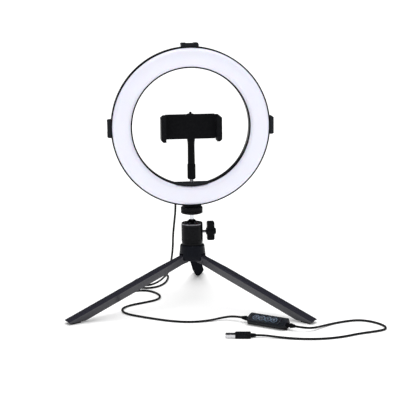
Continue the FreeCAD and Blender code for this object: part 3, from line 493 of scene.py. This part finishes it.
class Finishes(Enum):
    """Every finish on the light, by the record's slot name."""

    black_plastic = Finish("satin_black_plastic", BLACK, (0.006, 0.0062, 0.0078), (0.05, 0.05, 0.055),
                           rough=(0.3, 0.42), grain=0.7, depth=0.03, wear=0.12, dust=0.02, specular=0.05)
    gloss_black = Finish("gloss_black_plastic", (0.004, 0.0055, 0.0085), (0.007, 0.009, 0.0125),
                         (0.05, 0.05, 0.055), rough=(0.1, 0.2),
                         grain=1.2, depth=0.015, wear=0.12, dust=0.02, coat=0.03, specular=0.12)
    leg_plastic = Finish("leg_plastic", (0.0055, 0.0075, 0.017), (0.009, 0.0115, 0.024), (0.05, 0.05, 0.06),
                         rough=(0.2, 0.28), grain=0.6, depth=0.02, wear=0.05, dust=0.0, specular=0.9,
                         shine=(0.82, 0.87, 1.0))
    # Rear leg: a darker copy of the leg plastic, greyer and with no reflection, that paints shade on the
    # leg pointing away.
    rear_leg = Finish("leg_plastic_shaded", (0.006, 0.0065, 0.0085), (0.01, 0.011, 0.014),
                      (0.05, 0.05, 0.06), rough=(0.45, 0.6), grain=0.6, depth=0.02, wear=0.1, dust=0.01,
                      specular=0.0)
    hub_plastic = Finish("hub_plastic", (0.006, 0.0068, 0.0105), (0.01, 0.0115, 0.016), (0.05, 0.05, 0.06),
                         rough=(0.2, 0.3), grain=0.6, depth=0.02, wear=0.12, dust=0.02, specular=0.06)
    rubber = Finish("black_rubber", (0.004, 0.0042, 0.0052), (0.007, 0.0072, 0.0085), (0.03, 0.03, 0.03),
                    rough=(0.5, 0.7), grain=0.5, depth=0.04, wear=0.1, dust=0.03, specular=0.04)
    black_metal = TurnedMetal("black_anodised_metal", (0.0035, 0.0038, 0.0048), (0.006, 0.0062, 0.0078),
                              (0.1, 0.1, 0.11), rough=(0.22, 0.3), grain=0.9, depth=0.006, wear=0.04,
                              dust=0.01, specular=0.07)
    chrome = TurnedMetal("polished_chrome", (0.72, 0.73, 0.75), (0.6, 0.6, 0.62), (0.8, 0.8, 0.82),
                         rough=(0.06, 0.16), metallic=1.0, grain=0.5, depth=0.03, wear=0.1)
    steel = TurnedMetal("turned_steel", (0.55, 0.55, 0.57), (0.4, 0.4, 0.42), (0.75, 0.75, 0.76),
                        rough=(0.2, 0.36), metallic=1.0, grain=0.4, depth=0.08, wear=0.3)
    brass = TurnedMetal("turned_brass", (0.62, 0.43, 0.17), (0.45, 0.3, 0.12), (0.8, 0.6, 0.3),
                        rough=(0.2, 0.35), metallic=1.0, grain=0.4, depth=0.08)
    nylon = Finish("natural_nylon", (0.62, 0.6, 0.54), (0.5, 0.48, 0.43), (0.7, 0.68, 0.62),
                   rough=(0.35, 0.5))
    board = Finish("white_board", (0.62, 0.64, 0.65), (0.52, 0.54, 0.55), (0.75, 0.75, 0.75),
                   rough=(0.25, 0.4))
    led = Finish("led_phosphor", (0.8, 0.62, 0.2), (0.7, 0.5, 0.14), (0.85, 0.75, 0.4), rough=(0.3, 0.45))
    white_film = Finish("white_film", (0.72, 0.72, 0.72), (0.62, 0.62, 0.62), (0.8, 0.8, 0.8),
                        rough=(0.3, 0.45))
    green_board = Finish("green_board", (0.012, 0.1, 0.035), (0.02, 0.14, 0.05), (0.3, 0.35, 0.3),
                         rough=(0.2, 0.35))
    cord = Finish("cord_jacket", (0.0045, 0.0045, 0.005), (0.01, 0.01, 0.011), (0.03, 0.03, 0.03),
                  rough=(0.4, 0.55), grain=0.35, depth=0.12, wear=0.0, dust=0.03, specular=0.22)
    button = Finish("button_cap", (0.012, 0.014, 0.02), (0.02, 0.022, 0.03), rough=(0.15, 0.28), grain=0.8,
                    depth=0.04, coat=0.3)
    tongue = Finish("white_tongue", (0.7, 0.7, 0.68), (0.6, 0.6, 0.58), (0.8, 0.8, 0.8), rough=(0.35, 0.5))
    icon = Finish("pale_icon_print", (0.11, 0.165, 0.24), (0.095, 0.14, 0.21), (0.18, 0.24, 0.32),
                  rough=(0.3, 0.45), grain=0.3, depth=0.05)

    border = Finish("face_border", (0.02, 0.026, 0.036), (0.03, 0.036, 0.046), rough=(0.3, 0.4), grain=0.4,
                    depth=0.03)

    ball = BallAndNeck("ball_and_neck", (0.62, 0.63, 0.66), (0.5, 0.5, 0.53), (0.75, 0.75, 0.77),
                       rough=(0.1, 0.2), metallic=1.0, grain=0.6, depth=0.01, wear=0.05, dust=0.0)
    dark_ring = Finish("polished_dark_ring", (0.12, 0.12, 0.13), (0.09, 0.09, 0.1), (0.4, 0.4, 0.42),
                       rough=(0.1, 0.2), metallic=1.0, grain=0.6, depth=0.01, wear=0.3, dust=0.0)

    def dress(self, *nodes: str) -> None:
        """Give this finish to CAD nodes.

        Args:
            nodes: names of the nodes.
        """
        for name in nodes:
            slots = frame["nodes"][name].material_slots
            for slot in slots:
                slot.material = self.value.material()
            LOG.info("%s: %s", name, self.value.name)


# ---------------------------------------------------------------- bench tools
class Bench:
    """Hand tools that start, shape and finish a new piece."""

    @staticmethod
    def clear() -> None:
        """Leave edit mode and select nothing."""
        if bpy.context.object and bpy.context.object.mode != "OBJECT":
            bpy.ops.object.mode_set(mode="OBJECT")
        bpy.ops.object.select_all(action="DESELECT")

    @classmethod
    def vertex(cls, name: str, at: Vector) -> bpy.types.Object:
        """New piece that is one point in edit mode, ready to be drawn out.

        Args:
            name: name of the piece.
            at: where the point is.

        Returns:
            The piece, left in edit mode with its point selected.
        """
        cls.clear()
        bpy.ops.mesh.primitive_plane_add(size=MM, location=at)
        piece = bpy.context.object
        piece.name = piece.data.name = name
        bpy.ops.object.transform_apply(location=True, rotation=True, scale=True)
        bpy.ops.object.mode_set(mode="EDIT")
        bpy.ops.mesh.select_all(action="SELECT")
        bpy.ops.mesh.merge(type="CENTER")
        return piece

    @classmethod
    def outline(cls, name: str, points: list[Vector], closed: bool = False) -> bpy.types.Object:
        """Draw a chain of edges through points.

        Args:
            name: name of the piece.
            points: corners in order.
            closed: whether the last corner joins the first.

        Returns:
            The piece, left in edit mode with all of it selected.
        """
        piece = cls.vertex(name, points[0])
        for before, after in zip(points, points[1:]):
            bpy.ops.mesh.extrude_region_move(TRANSFORM_OT_translate={"value": after - before})
        bpy.ops.mesh.select_all(action="SELECT")
        if closed:
            bpy.ops.mesh.select_all(action="DESELECT")
            shape = bmesh.from_edit_mesh(piece.data)
            ends = [v for v in shape.verts if len(v.link_edges) == 1]
            for end in ends:
                end.select = True
            bpy.ops.mesh.edge_face_add()
            bpy.ops.mesh.select_all(action="SELECT")
        return piece

    @classmethod
    def close_up(cls, piece: bpy.types.Object) -> None:
        """Merge doubles, turn all faces outward and leave edit mode."""
        bpy.ops.mesh.select_all(action="SELECT")
        bpy.ops.mesh.remove_doubles(threshold=0.002 * MM)
        bpy.ops.mesh.normals_make_consistent(inside=False)
        bpy.ops.object.mode_set(mode="OBJECT")

    @classmethod
    def turned(cls, name: str, profile: list[tuple[float, float]], centre: Vector, axis: Axis,
               steps: int = 48) -> bpy.types.Object:
        """Turn a profile about an axis.

        Args:
            name: name of the piece.
            profile: (distance along the axis, radius) pairs from centre, in millimetres.
            centre: a point on the axis.
            axis: direction of the axis.
            steps: steps round the turn.

        Returns:
            The turned piece.
        """
        out = Axis.X.value if axis is Axis.Z else Axis.Z.value
        points = [centre + axis.value * (a * MM) + out * (r * MM) for a, r in profile]
        piece = cls.outline(name, points)
        bpy.ops.mesh.spin(steps=steps, angle=2 * math.pi, center=centre, axis=axis.value)
        cls.close_up(piece)
        return piece

    @classmethod
    def slab(cls, name: str, points: list[Vector], thick: Vector) -> bpy.types.Object:
        """Flat outline filled and drawn out to a thickness.

        Args:
            name: name of the piece.
            points: corners of the outline in order.
            thick: direction and length of the draw.

        Returns:
            The solid piece.
        """
        piece = cls.outline(name, points, closed=True)
        bpy.ops.mesh.edge_face_add()
        bpy.ops.mesh.extrude_region_move(TRANSFORM_OT_translate={"value": thick})
        cls.close_up(piece)
        return piece

    @classmethod
    def soften(cls, piece: bpy.types.Object, width: float, segments: int = 2) -> None:
        """Round a piece's sharp edges with an applied bevel.

        Args:
            piece: the piece.
            width: width of the rounding in millimetres.
            segments: steps across it.
        """
        cls.clear()
        bpy.context.view_layer.objects.active = piece
        piece.select_set(True)
        bevel = piece.modifiers.new("soften", "BEVEL")
        bevel.width = width * MM
        bevel.segments = segments
        bevel.limit_method = "ANGLE"
        bevel.angle_limit = math.radians(35)
        bpy.ops.object.modifier_apply(modifier=bevel.name)
        bpy.ops.object.shade_smooth_by_angle(angle=math.radians(35))

    @classmethod
    def join(cls, name: str, pieces: list[bpy.types.Object]) -> bpy.types.Object:
        """Make several meshes one piece.

        Args:
            name: name of the joined piece.
            pieces: the meshes.

        Returns:
            The joined piece.
        """
        cls.clear()
        for piece in pieces:
            piece.select_set(True)
        bpy.context.view_layer.objects.active = pieces[0]
        if len(pieces) > 1:
            bpy.ops.object.join()
        pieces[0].name = pieces[0].data.name = name
        return pieces[0]

    @classmethod
    def copy_turned(cls, piece: bpy.types.Object, angle: float, centre: Vector,
                    axis: Axis) -> bpy.types.Object:
        """Copy of a piece with its own mesh, turned about an axis.

        Args:
            piece: the piece to copy.
            angle: turn in degrees.
            centre: a point on the axis.
            axis: direction of the axis.

        Returns:
            The copy.
        """
        turn = Matrix.Translation(centre) @ Matrix.Rotation(math.radians(angle), 4, axis.value)
        return cls.copy_moved(piece, turn @ Matrix.Translation(-centre))

    @staticmethod
    def copy_moved(piece: bpy.types.Object, move: Matrix) -> bpy.types.Object:
        """Copy of a piece with its own mesh, moved by a placement.

        Args:
            piece: the piece to copy.
            move: the placement.

        Returns:
            The copy.
        """
        copy = piece.copy()
        copy.data = piece.data.copy()
        bpy.context.collection.objects.link(copy)
        copy.data.transform(move)
        return copy

    @classmethod
    def row(cls, piece: bpy.types.Object, count: int, step: Vector) -> list[bpy.types.Object]:
        """A piece and its copies in a straight row.

        Args:
            piece: the first piece.
            count: pieces in the row.
            step: from one to the next.

        Returns:
            All of the row.
        """
        return [piece] + [cls.copy_moved(piece, Matrix.Translation(step * n)) for n in range(1, count)]

    @classmethod
    def smooth(cls, piece: bpy.types.Object, angle: float) -> None:
        """Shade a piece smooth, but for edges sharper than an angle in degrees."""
        cls.clear()
        bpy.context.view_layer.objects.active = piece
        piece.select_set(True)
        bpy.ops.object.shade_smooth_by_angle(angle=math.radians(angle))

    @staticmethod
    def hand_over(piece: bpy.types.Object, finish: Finishes, body: Body | str,
                  slot: str) -> bpy.types.Object:
        """Dress a finished piece and let it ride on its body.

        Args:
            piece: the piece.
            finish: its finish.
            body: body that it moves with.
            slot: the record's slot that its finish belongs to; not used.

        Returns:
            The piece.
        """
        piece.data.materials.clear()
        piece.data.materials.append(finish.value.material())
        name = body.value if isinstance(body, Body) else body
        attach(piece, name)
        LOG.info("%s rides on %s", piece.name, name)
        return piece


# ---------------------------------------------------------------- studio
@dataclass
class Studio:
    """Camera, pale floor and soft light."""

    eye: tuple[float, float, float] = (-0.18301, -1.95123, 0.53758)
    azimuth: float = -5.760
    pitch: float = 10.403
    roll: float = -0.795
    focal: float = 109.25
    sensor: float = 36.0
    floor_half: float = 40.0
    floor_grey: float = 0.93
    floor_rough: float = 0.8
    floor_specular: float = 0.1
    floor_glow: float = 0.14
    surround_glow: float = 0.04
    sun_strength: float = 3.7
    sun_spread: float = 90.0
    aim: tuple[float, float, float] = (0.0, 0.0, 0.2)

    def build(self) -> None:
        """Set up all of the studio."""
        self._camera()
        self._floor()
        self._lights()

    def _camera(self) -> None:
        """Long lens, a little above and to the left of the light."""
        a, p, r = (math.radians(v) for v in (self.azimuth, self.pitch, self.roll))
        ahead = Vector((-math.sin(a) * math.cos(p), math.cos(a) * math.cos(p), -math.sin(p)))
        right = Vector((math.cos(a), math.sin(a), 0.0))
        up = right.cross(ahead)
        right_rolled = right * math.cos(r) + up * math.sin(r)
        up_rolled = up * math.cos(r) - right * math.sin(r)
        turn = Matrix((right_rolled, up_rolled, -ahead)).transposed().to_4x4()
        data = bpy.data.cameras.new("camera")
        data.lens = self.focal
        data.sensor_width = self.sensor
        data.clip_end = 200.0
        camera = bpy.data.objects.new("camera", data)
        camera.matrix_world = Matrix.Translation(self.eye) @ turn
        bpy.context.collection.objects.link(camera)
        bpy.context.scene.camera = camera

    def _floor(self) -> None:
        """Plain pale floor that fills the background."""
        Bench.clear()
        bpy.ops.mesh.primitive_plane_add(size=2 * self.floor_half, location=(0, 0, 0))
        floor = bpy.context.object
        floor.name = "studio_floor"
        material = bpy.data.materials.new("pale_floor")
        material.use_nodes = True
        shader = material.node_tree.nodes["Principled BSDF"]
        shader.inputs["Base Color"].default_value = (*([self.floor_grey] * 3), 1.0)
        shader.inputs["Roughness"].default_value = self.floor_rough
        shader.inputs["Specular IOR Level"].default_value = self.floor_specular
        shader.inputs["Emission Color"].default_value = (1.0, 1.0, 1.0, 1.0)
        shader.inputs["Emission Strength"].default_value = self.floor_glow
        floor.data.materials.append(material)

    def _lights(self) -> None:
        """Large soft panels above and at both sides, and an even pale surround."""
        world = bpy.data.worlds.new("surround")
        world.use_nodes = True
        background = world.node_tree.nodes["Background"]
        background.inputs["Color"].default_value = (1.0, 1.0, 1.0, 1.0)
        background.inputs["Strength"].default_value = self.surround_glow
        bpy.context.scene.world = world
        sun = bpy.data.lights.new("sky_above", "SUN")
        sun.energy = self.sun_strength
        sun.angle = math.radians(self.sun_spread)
        sky = bpy.data.objects.new("sky_above", sun)
        sky.visible_glossy = False
        bpy.context.collection.objects.link(sky)
        panels = {
            "panel_above": ((0.0, -0.7, 2.2), 1.2, 3.0),
            "panel_left": ((-2.0, -1.2, 1.3), 1.0, 4.0),
            "panel_right": ((2.2, -0.9, 1.2), 1.0, 4.0),
        }
        for name, (place, side, power) in panels.items():
            data = bpy.data.lights.new(name, "AREA")
            data.shape = "SQUARE"
            data.size = side
            data.energy = power
            lamp = bpy.data.objects.new(name, data)
            aim = Vector(self.aim) - Vector(place)
            turn = aim.to_track_quat("-Z", "Y").to_matrix().to_4x4()
            lamp.matrix_world = Matrix.Translation(place) @ turn
            bpy.context.collection.objects.link(lamp)
        bpy.context.scene.view_settings.view_transform = "Standard"


# ---------------------------------------------------------------- lead
@dataclass
class Lead:
    """The lead in two stretches, with the controller between them and the plug at its end."""

    diameter: float = 3.6 * MM
    length_in: float = 0.9564
    length_out: float = 0.4047
    controller_nodes: list[str] = field(default_factory=lambda: [
        "controller_top", "controller_base", "controller_board",
        "button_power", "button_minus", "button_plus", "button_mode",
    ])
    controller_pieces: list[str] = field(default_factory=lambda: [
        "relief_in_moulded", "button_rings", "face_border",
        "mark_power", "mark_minus", "mark_plus", "mark_mode",
    ])
    plug_nodes: list[str] = field(default_factory=lambda: ["plug_body", "plug_shell", "plug_tongue"])

    plug_pieces: list[str] = field(default_factory=lambda: ["relief_out_moulded", "plug_grip"])

    def build(self) -> None:
        """Lay both stretches."""
        first = self._lay("lead_cord_to_controller", ROUTE_TO_CONTROLLER)
        second = self._lay("lead_cord_to_plug", ROUTE_TO_PLUG)
        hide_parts("lead_to_controller")
        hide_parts("lead_to_plug")

    def _lay(self, name: str, route: list[tuple[float, float, float]]) -> bpy.types.Object:
        """One stretch as a smooth round curve.

        Args:
            name: name of the piece.
            route: its control points.

        Returns:
            The curve.
        """
        data = bpy.data.curves.new(name, "CURVE")
        data.dimensions = "3D"
        spline = data.splines.new("NURBS")
        spline.points.add(len(route) - 1)
        for point, place in zip(spline.points, route):
            point.co = (*place, 1.0)
        spline.order_u = 3
        spline.use_endpoint_u = True
        spline.resolution_u = 6
        data.bevel_depth = self.diameter / 2
        data.bevel_resolution = 3
        data.use_fill_caps = True
        cord = bpy.data.objects.new(name, data)
        bpy.context.collection.objects.link(cord)
        Bench.hand_over(cord, Finishes.cord, Body.STAND, "cord")
        return cord


# ---------------------------------------------------------------- controller
class Icon(Enum):
    """Generic marks on the controller's buttons."""

    POWER = "button_power"
    MINUS = "button_minus"
    PLUS = "button_plus"
    MODE = "button_mode"


@dataclass
class Controller:
    """In-line controller with four marked buttons under a gloss face."""

    mark: float = 4.6
    stroke: float = 0.75
    lift: float = 0.09
    ring: float = 4.88
    ring_stroke: float = 1.0
    first_x: float = -21.0
    pitch: float = 10.9
    cap_middle: float = 10.085
    cap_half: float = 1.615
    face: float = 11.0
    half_length: float = 35.0
    mid_height: float = 5.5
    border_half: tuple[float, float] = (27.2, 7.4)
    border_middle: float = -5.2
    border_line: float = 0.22

    def build(self) -> None:
        """Print the marks, their rings and the face's border, and mould the strain reliefs."""
        for icon in Icon:
            self._print(icon)
        self._rings()
        self._border()
        self._relief("relief_in", -1.0)
        self._relief("relief_out", 1.0)

    def _axes(self) -> tuple[Vector, Vector, Vector]:
        """Directions along the controller, across it and out of its face."""
        joint = next(j for j in frame["record"]["behaviour"]["joints"] if j["child"] == Icon.POWER.value)
        out = -Vector(joint["axis"]).normalized()
        first, last = (self._centre(i.value) for i in (Icon.POWER, Icon.MODE))
        along = (last - first).normalized()
        return along, out.cross(along), out

    def _place(self) -> Matrix:
        """Placement of the controller: x along it from its middle, z out of its face."""
        along, across, out = self._axes()
        first = self._centre(Icon.POWER.value)
        origin = first - along * (self.first_x * MM) - out * (self.cap_middle * MM)
        return Matrix.Translation(origin) @ Matrix((along, across, out)).transposed().to_4x4()

    def _rings(self) -> None:
        """Ring printed on the face round each button: one modelled, three copied."""
        first = self._arc(self.ring, 0.0, 360.0, self.ring_stroke)
        rings = Bench.row(first, len(Icon), Vector((self.pitch * MM, 0.0, 0.0)))
        piece = Bench.join("button_rings", rings)
        shift = Matrix.Translation((self.first_x * MM, 0.0, self.face * MM))
        piece.data.transform(self._place() @ shift)
        Bench.hand_over(piece, Finishes.icon, Body.STAND, "button")

    def _border(self) -> None:
        """Fine raised border round the face."""
        (half_x, half_y), middle, line = self.border_half, self.border_middle, self.border_line
        bars = [self._bar(half_x, line, (middle, y)) for y in (-half_y, half_y)]
        bars += [self._bar(line, half_y, (middle + x, 0.0)) for x in (-half_x, half_x)]
        piece = Bench.join("face_border", bars)
        piece.data.transform(self._place() @ Matrix.Translation((0.0, 0.0, self.face * MM)))
        Bench.hand_over(piece, Finishes.border, Body.STAND, "gloss_black")

    def _relief(self, node: str, side: float) -> None:
        """Strain relief: a collar at the shell, a neck, then a tapered, ribbed bulb.

        Args:
            node: the plain relief that it takes the place of.
            side: which end, -1 or 1.
        """
        shape = [(0.0, 0.0), (0.0, 4.1), (1.4, 4.1), (1.8, 3.7), (2.4, 2.9), (4.2, 2.8), (4.8, 3.5)]
        for n in range(4):
            start = 4.8 + 1.9 * n
            top = 4.0 - 0.38 * n
            shape += [(start + 0.2, top), (start + 1.2, top - 0.12)]
            shape += [(start + 1.4, top - 0.7), (start + 1.8, top - 0.75)]
        shape += [(13.0, 2.35), (13.5, 2.1), (13.5, 0.0)]
        profile = [(side * (self.half_length + x), r) for x, r in shape]
        centre = Vector((0.0, 0.0, self.mid_height * MM))
        piece = Bench.turned(node + "_moulded", profile, centre, Axis.X, 40)
        Bench.soften(piece, 0.12)
        piece.data.transform(self._place())
        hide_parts(node)
        Bench.hand_over(piece, Finishes.rubber, Body.STAND, "rubber")

    def _face(self, icon: Icon) -> Matrix:
        """Placement on a button's top: x along the controller, z out of it.

        Args:
            icon: which button.

        Returns:
            The placement, with its origin in the middle of the cap's top.
        """
        axes = self._axes()
        top = self._centre(icon.value) + axes[2] * (self.cap_half * MM)
        return Matrix.Translation(top) @ Matrix(axes).transposed().to_4x4()

    @staticmethod
    def _centre(node: str) -> Vector:
        """Middle of a node's box."""
        low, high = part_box(node)
        return (Vector(low) + Vector(high)) / 2

    def _bar(self, half_x: float, half_y: float, at: tuple[float, float] = (0.0, 0.0)) -> bpy.types.Object:
        """Thin printed bar.

        Args:
            half_x: half its length, mm.
            half_y: half its width, mm.
            at: its middle, mm.

        Returns:
            The bar.
        """
        corners = [(-half_x, -half_y), (half_x, -half_y), (half_x, half_y), (-half_x, half_y)]
        points = [Vector(((at[0] + x) * MM, (at[1] + y) * MM, 0.0)) for x, y in corners]
        return Bench.slab("bar", points, Vector((0, 0, self.lift * MM)))

    def _arc(self, radius: float, start: float, sweep: float, stroke: float = 0.75) -> bpy.types.Object:
        """Printed arc, spun from its square end.

        Args:
            radius: middle radius, mm.
            start: start angle in degrees.
            sweep: angle in degrees.
            stroke: width of the line, mm.

        Returns:
            The arc.
        """
        a = math.radians(start)
        out = Vector((math.cos(a), math.sin(a), 0.0))
        half = stroke / 2
        corners = [out * ((radius - half) * MM), out * ((radius + half) * MM)]
        up = Vector((0, 0, self.lift * MM))
        Bench.outline("arc", [corners[0], corners[1], corners[1] + up, corners[0] + up], closed=True)
        piece = bpy.context.object
        bpy.ops.mesh.edge_face_add()
        steps = max(6, int(sweep / 12))
        bpy.ops.mesh.spin(steps=steps, angle=math.radians(sweep), center=(0, 0, 0), axis=(0, 0, 1))
        Bench.close_up(piece)
        return piece

    def _print(self, icon: Icon) -> None:
        """Print one mark.

        Args:
            icon: which mark.
        """
        half = self.mark / 2
        if icon is Icon.POWER:
            parts = [self._arc(half * 0.85, 125, 290)]
            parts.append(self._bar(self.stroke / 2, half * 0.5, (0, half * 0.62)))
        elif icon is Icon.MINUS:
            parts = [self._bar(half * 0.8, self.stroke / 2)]
        elif icon is Icon.PLUS:
            parts = [self._bar(half * 0.8, self.stroke / 2), self._bar(self.stroke / 2, half * 0.8)]
        else:
            parts = [self._arc(half * 0.42, 0, 360)]
            ray = self._bar(half * 0.16, self.stroke / 2.4, (half * 0.86, 0))
            parts += [Bench.copy_turned(ray, 45.0 * n, Vector(), Axis.Z) for n in range(1, 8)] + [ray]
        piece = Bench.join("mark_" + icon.name.lower(), parts)
        piece.data.transform(self._face(icon))
        Bench.hand_over(piece, Finishes.icon, icon.value, "button")


# ---------------------------------------------------------------- plug
@dataclass
class Plug:
    """Grip ribs moulded on the plug's body."""

    reach: float = 38.5
    rib_from: float = 6.0
    rib_step: float = 2.4
    rib_width: float = 1.0
    rib_soft: float = 0.15
    ribs: int = 6
    outer_half: tuple[tuple[float, float], ...] = ((7.75, -2.6), (7.75, 2.6), (6.4, 3.98))
    inner_half: tuple[tuple[float, float], ...] = ((6.9, -2.6), (6.9, 2.2), (5.9, 3.3))

    def build(self) -> None:
        """Mould one rib over the body and copy it along."""
        mount = next(m for m in frame["record"]["mounts"] if "usb" in m["name"])
        along = Vector(mount["axis"]).normalized()
        up = Vector((0.0, 0.0, 1.0))
        side = up.cross(along)
        tip = Vector(mount["pos_m"])
        turn = Matrix((along, side, up)).transposed().to_4x4()
        place = Matrix.Translation(tip - along * (self.reach * MM)) @ turn
        outer = [(-y, z) for y, z in self.outer_half] + list(reversed(self.outer_half))
        inner = list(self.inner_half) + [(-y, z) for y, z in reversed(self.inner_half)]
        points = [Vector((self.rib_from * MM, y * MM, z * MM)) for y, z in outer + inner]
        rib = Bench.slab("rib", points, Vector((self.rib_width * MM, 0.0, 0.0)))
        Bench.soften(rib, self.rib_soft)
        ribs = Bench.row(rib, self.ribs, Vector((self.rib_step * MM, 0.0, 0.0)))
        piece = Bench.join("plug_grip", ribs)
        piece.data.transform(place)
        Bench.hand_over(piece, Finishes.gloss_black, Body.STAND, "gloss_black")


# ---------------------------------------------------------------- screws
@dataclass
class Screws:
    """Threads on the bare screws, and cross recesses in the screws of the back."""

    pitch: float = 1.0
    thread_depth: float = 0.35
    screw_ring: float = 112.3
    screws: int = 8
    recess_half: float = 1.35
    recess_half_width: float = 0.28
    recess_floor: float = 0.45
    recess_height: float = 2.0
    smooth_below: float = 30.0

    def build(self) -> None:
        """Cut both threads and all recesses."""
        self._thread("lock_screw", Axis.X, Body.KNOB)
        self._thread("phone_stud", Axis.Z, Body.LIGHT)
        self._backs()

    def _thread(self, node: str, axis: Axis, body: Body) -> None:
        """Threaded rod in place of a plain one.

        Args:
            node: the plain rod.
            axis: its axis.
            body: body that it rides on.
        """
        low, high = (Vector(c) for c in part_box(node))
        centre = (low + high) / 2
        length = (high - low).dot(axis.value) / MM
        radius = (high.y - low.y) / 2 / MM
        count = int((length - 1.0) / self.pitch)
        start = -length / 2
        root = radius - self.thread_depth
        profile = [(start, 0.0), (start, root - 0.1), (start + 0.4, root)]
        for n in range(count):
            at = start + 0.5 + self.pitch * n
            profile += [(at + 0.4 * self.pitch, radius), (at + 0.55 * self.pitch, radius)]
            profile.append((at + 0.95 * self.pitch, root))
        profile += [(length / 2, root - 0.1), (length / 2, 0.0)]
        piece = Bench.turned(node + "_threaded", profile, centre, axis, 36)
        Bench.smooth(piece, self.smooth_below)
        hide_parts(node)
        Bench.hand_over(piece, Finishes.steel, body, "steel")

    def _backs(self) -> None:
        """Pan-head screws on the back: one head cut, the others copied round the ring."""
        low, high = (Vector(c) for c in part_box("back_screws"))
        middle = (low + high) / 2
        first = Vector((middle.x + self.screw_ring * MM, low.y, middle.z))
        shape = [(0.0, 0.0), (0.0, 2.3), (0.55, 2.3), (0.85, 1.95), (1.0, 1.2), (1.05, 0.0)]
        head = Bench.turned("screw_head", shape, first, Axis.Y, 40)
        halves = (self.recess_half, self.recess_half_width)
        for half_x, half_z in (halves, halves[::-1]):
            corners = [(-half_x, -half_z), (half_x, -half_z), (half_x, half_z), (-half_x, half_z)]
            points = [first + Vector((x, self.recess_floor, z)) * MM for x, z in corners]
            bar = Bench.slab("recess", points, Vector((0.0, self.recess_height * MM, 0.0)))
            self._cut(head, bar)
        copies = [head]
        for n in range(1, self.screws):
            copies.append(Bench.copy_turned(head, 360.0 * n / self.screws, middle, Axis.Y))
        piece = Bench.join("back_screw_heads", copies)
        half_step = Matrix.Rotation(math.radians(180.0 / self.screws), 4, "Y")
        piece.data.transform(Matrix.Translation(middle) @ half_step @ Matrix.Translation(-middle))
        Bench.smooth(piece, self.smooth_below)
        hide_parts("back_screws")
        Bench.hand_over(piece, Finishes.steel, Body.LIGHT, "steel")

    @staticmethod
    def _cut(piece: bpy.types.Object, tool: bpy.types.Object) -> None:
        """Cut one solid out of another.

        Args:
            piece: the solid that is cut.
            tool: the solid that is removed, used up by the cut.
        """
        Bench.clear()
        bpy.context.view_layer.objects.active = piece
        piece.select_set(True)
        cut = piece.modifiers.new("cut", "BOOLEAN")
        cut.operation = "DIFFERENCE"
        cut.object = tool
        bpy.ops.object.modifier_apply(modifier=cut.name)
        bpy.data.objects.remove(tool)


# ---------------------------------------------------------------- jaw pads
@dataclass
class JawPads:
    """Grip ribs on the rubber pads of both jaws."""

    step: float = 2.4
    rib: float = 1.1
    proud: float = 0.35
    margin: float = 1.0
    inset: float = 0.4
    root: float = 0.3

    def build(self) -> None:
        """Rib both pads."""
        self._ribbed("fixed_jaw_pad", 1.0, Body.CLAMP)
        self._ribbed("sliding_jaw_pad", -1.0, Body.JAW)

    def _ribbed(self, node: str, side: float, body: Body) -> None:
        """Ribs over one pad, one modelled and the rest copied up it.

        Args:
            node: the pad.
            side: direction in x that the pad faces.
            body: body that it rides on.
        """
        low, high = (Vector(c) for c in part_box(node))
        face = high.x if side > 0 else low.x
        bottom = low.z + self.margin * MM
        near, far = low.y + self.inset * MM, high.y - self.inset * MM
        top = bottom + self.rib * MM
        corners = [(near, bottom), (far, bottom), (far, top), (near, top)]
        points = [Vector((face - side * self.root * MM, y, z)) for y, z in corners]
        rib = Bench.slab("rib", points, Vector((side * (self.proud + self.root) * MM, 0.0, 0.0)))
        Bench.soften(rib, 0.2)
        count = int((high.z - low.z - 2 * self.margin * MM) / (self.step * MM))
        ribs = Bench.row(rib, count, Vector((0.0, 0.0, self.step * MM)))
        piece = Bench.join(node + "_ribs", ribs)
        Bench.hand_over(piece, Finishes.rubber, body, "rubber")


# ---------------------------------------------------------------- the CAD nodes' finishes
class Dresser:
    """Gives every CAD node the finish of its slot."""

    def build(self) -> None:
        """Dress all nodes by the record's slots."""
        low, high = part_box("diffuser")
        middle = (Vector(low) + Vector(high)) / 2
        # The diffuser's lens carries painted light: its emission glow paints the bright middle of the ring
        # and the shade at both rims.
        lens = MilkyLens("milky_lens", (0.78, 0.78, 0.87), (0.73, 0.73, 0.84), (0.84, 0.84, 0.9),
                         rough=(0.14, 0.24),
                         grain=2.5, depth=0.02, wear=0.0, dust=0.02, scratch=0.1, coat=0.5,
                         centre=tuple(middle), glow=0.18)
        for part in frame["record"]["subparts"]:
            name, slot = part["node"], part["material_slot"]
            if slot == "diffuser":
                for place in frame["nodes"][name].material_slots:
                    place.material = lens.material()
            else:
                Finishes[slot].dress(name)
        # The rear leg takes the darker copy of the leg plastic: painted shade.
        Finishes.rear_leg.dress("leg_rear")
        Finishes.hub_plastic.dress("tripod_hub")
        Finishes.ball.dress("ball_neck")
        Finishes.dark_ring.dress("retaining_ring")


def main() -> None:
    """Build the light piece by piece and report."""
    logging.basicConfig(level=logging.INFO, format="%(name)s %(message)s")
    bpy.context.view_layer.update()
    lead = Lead()
    for part in (Studio(), lead, Controller(), Plug(), Screws(), JawPads(), Dresser()):
        part.build()
        LOG.info("%s done", type(part).__name__)


if __name__ == "__main__":
    main()
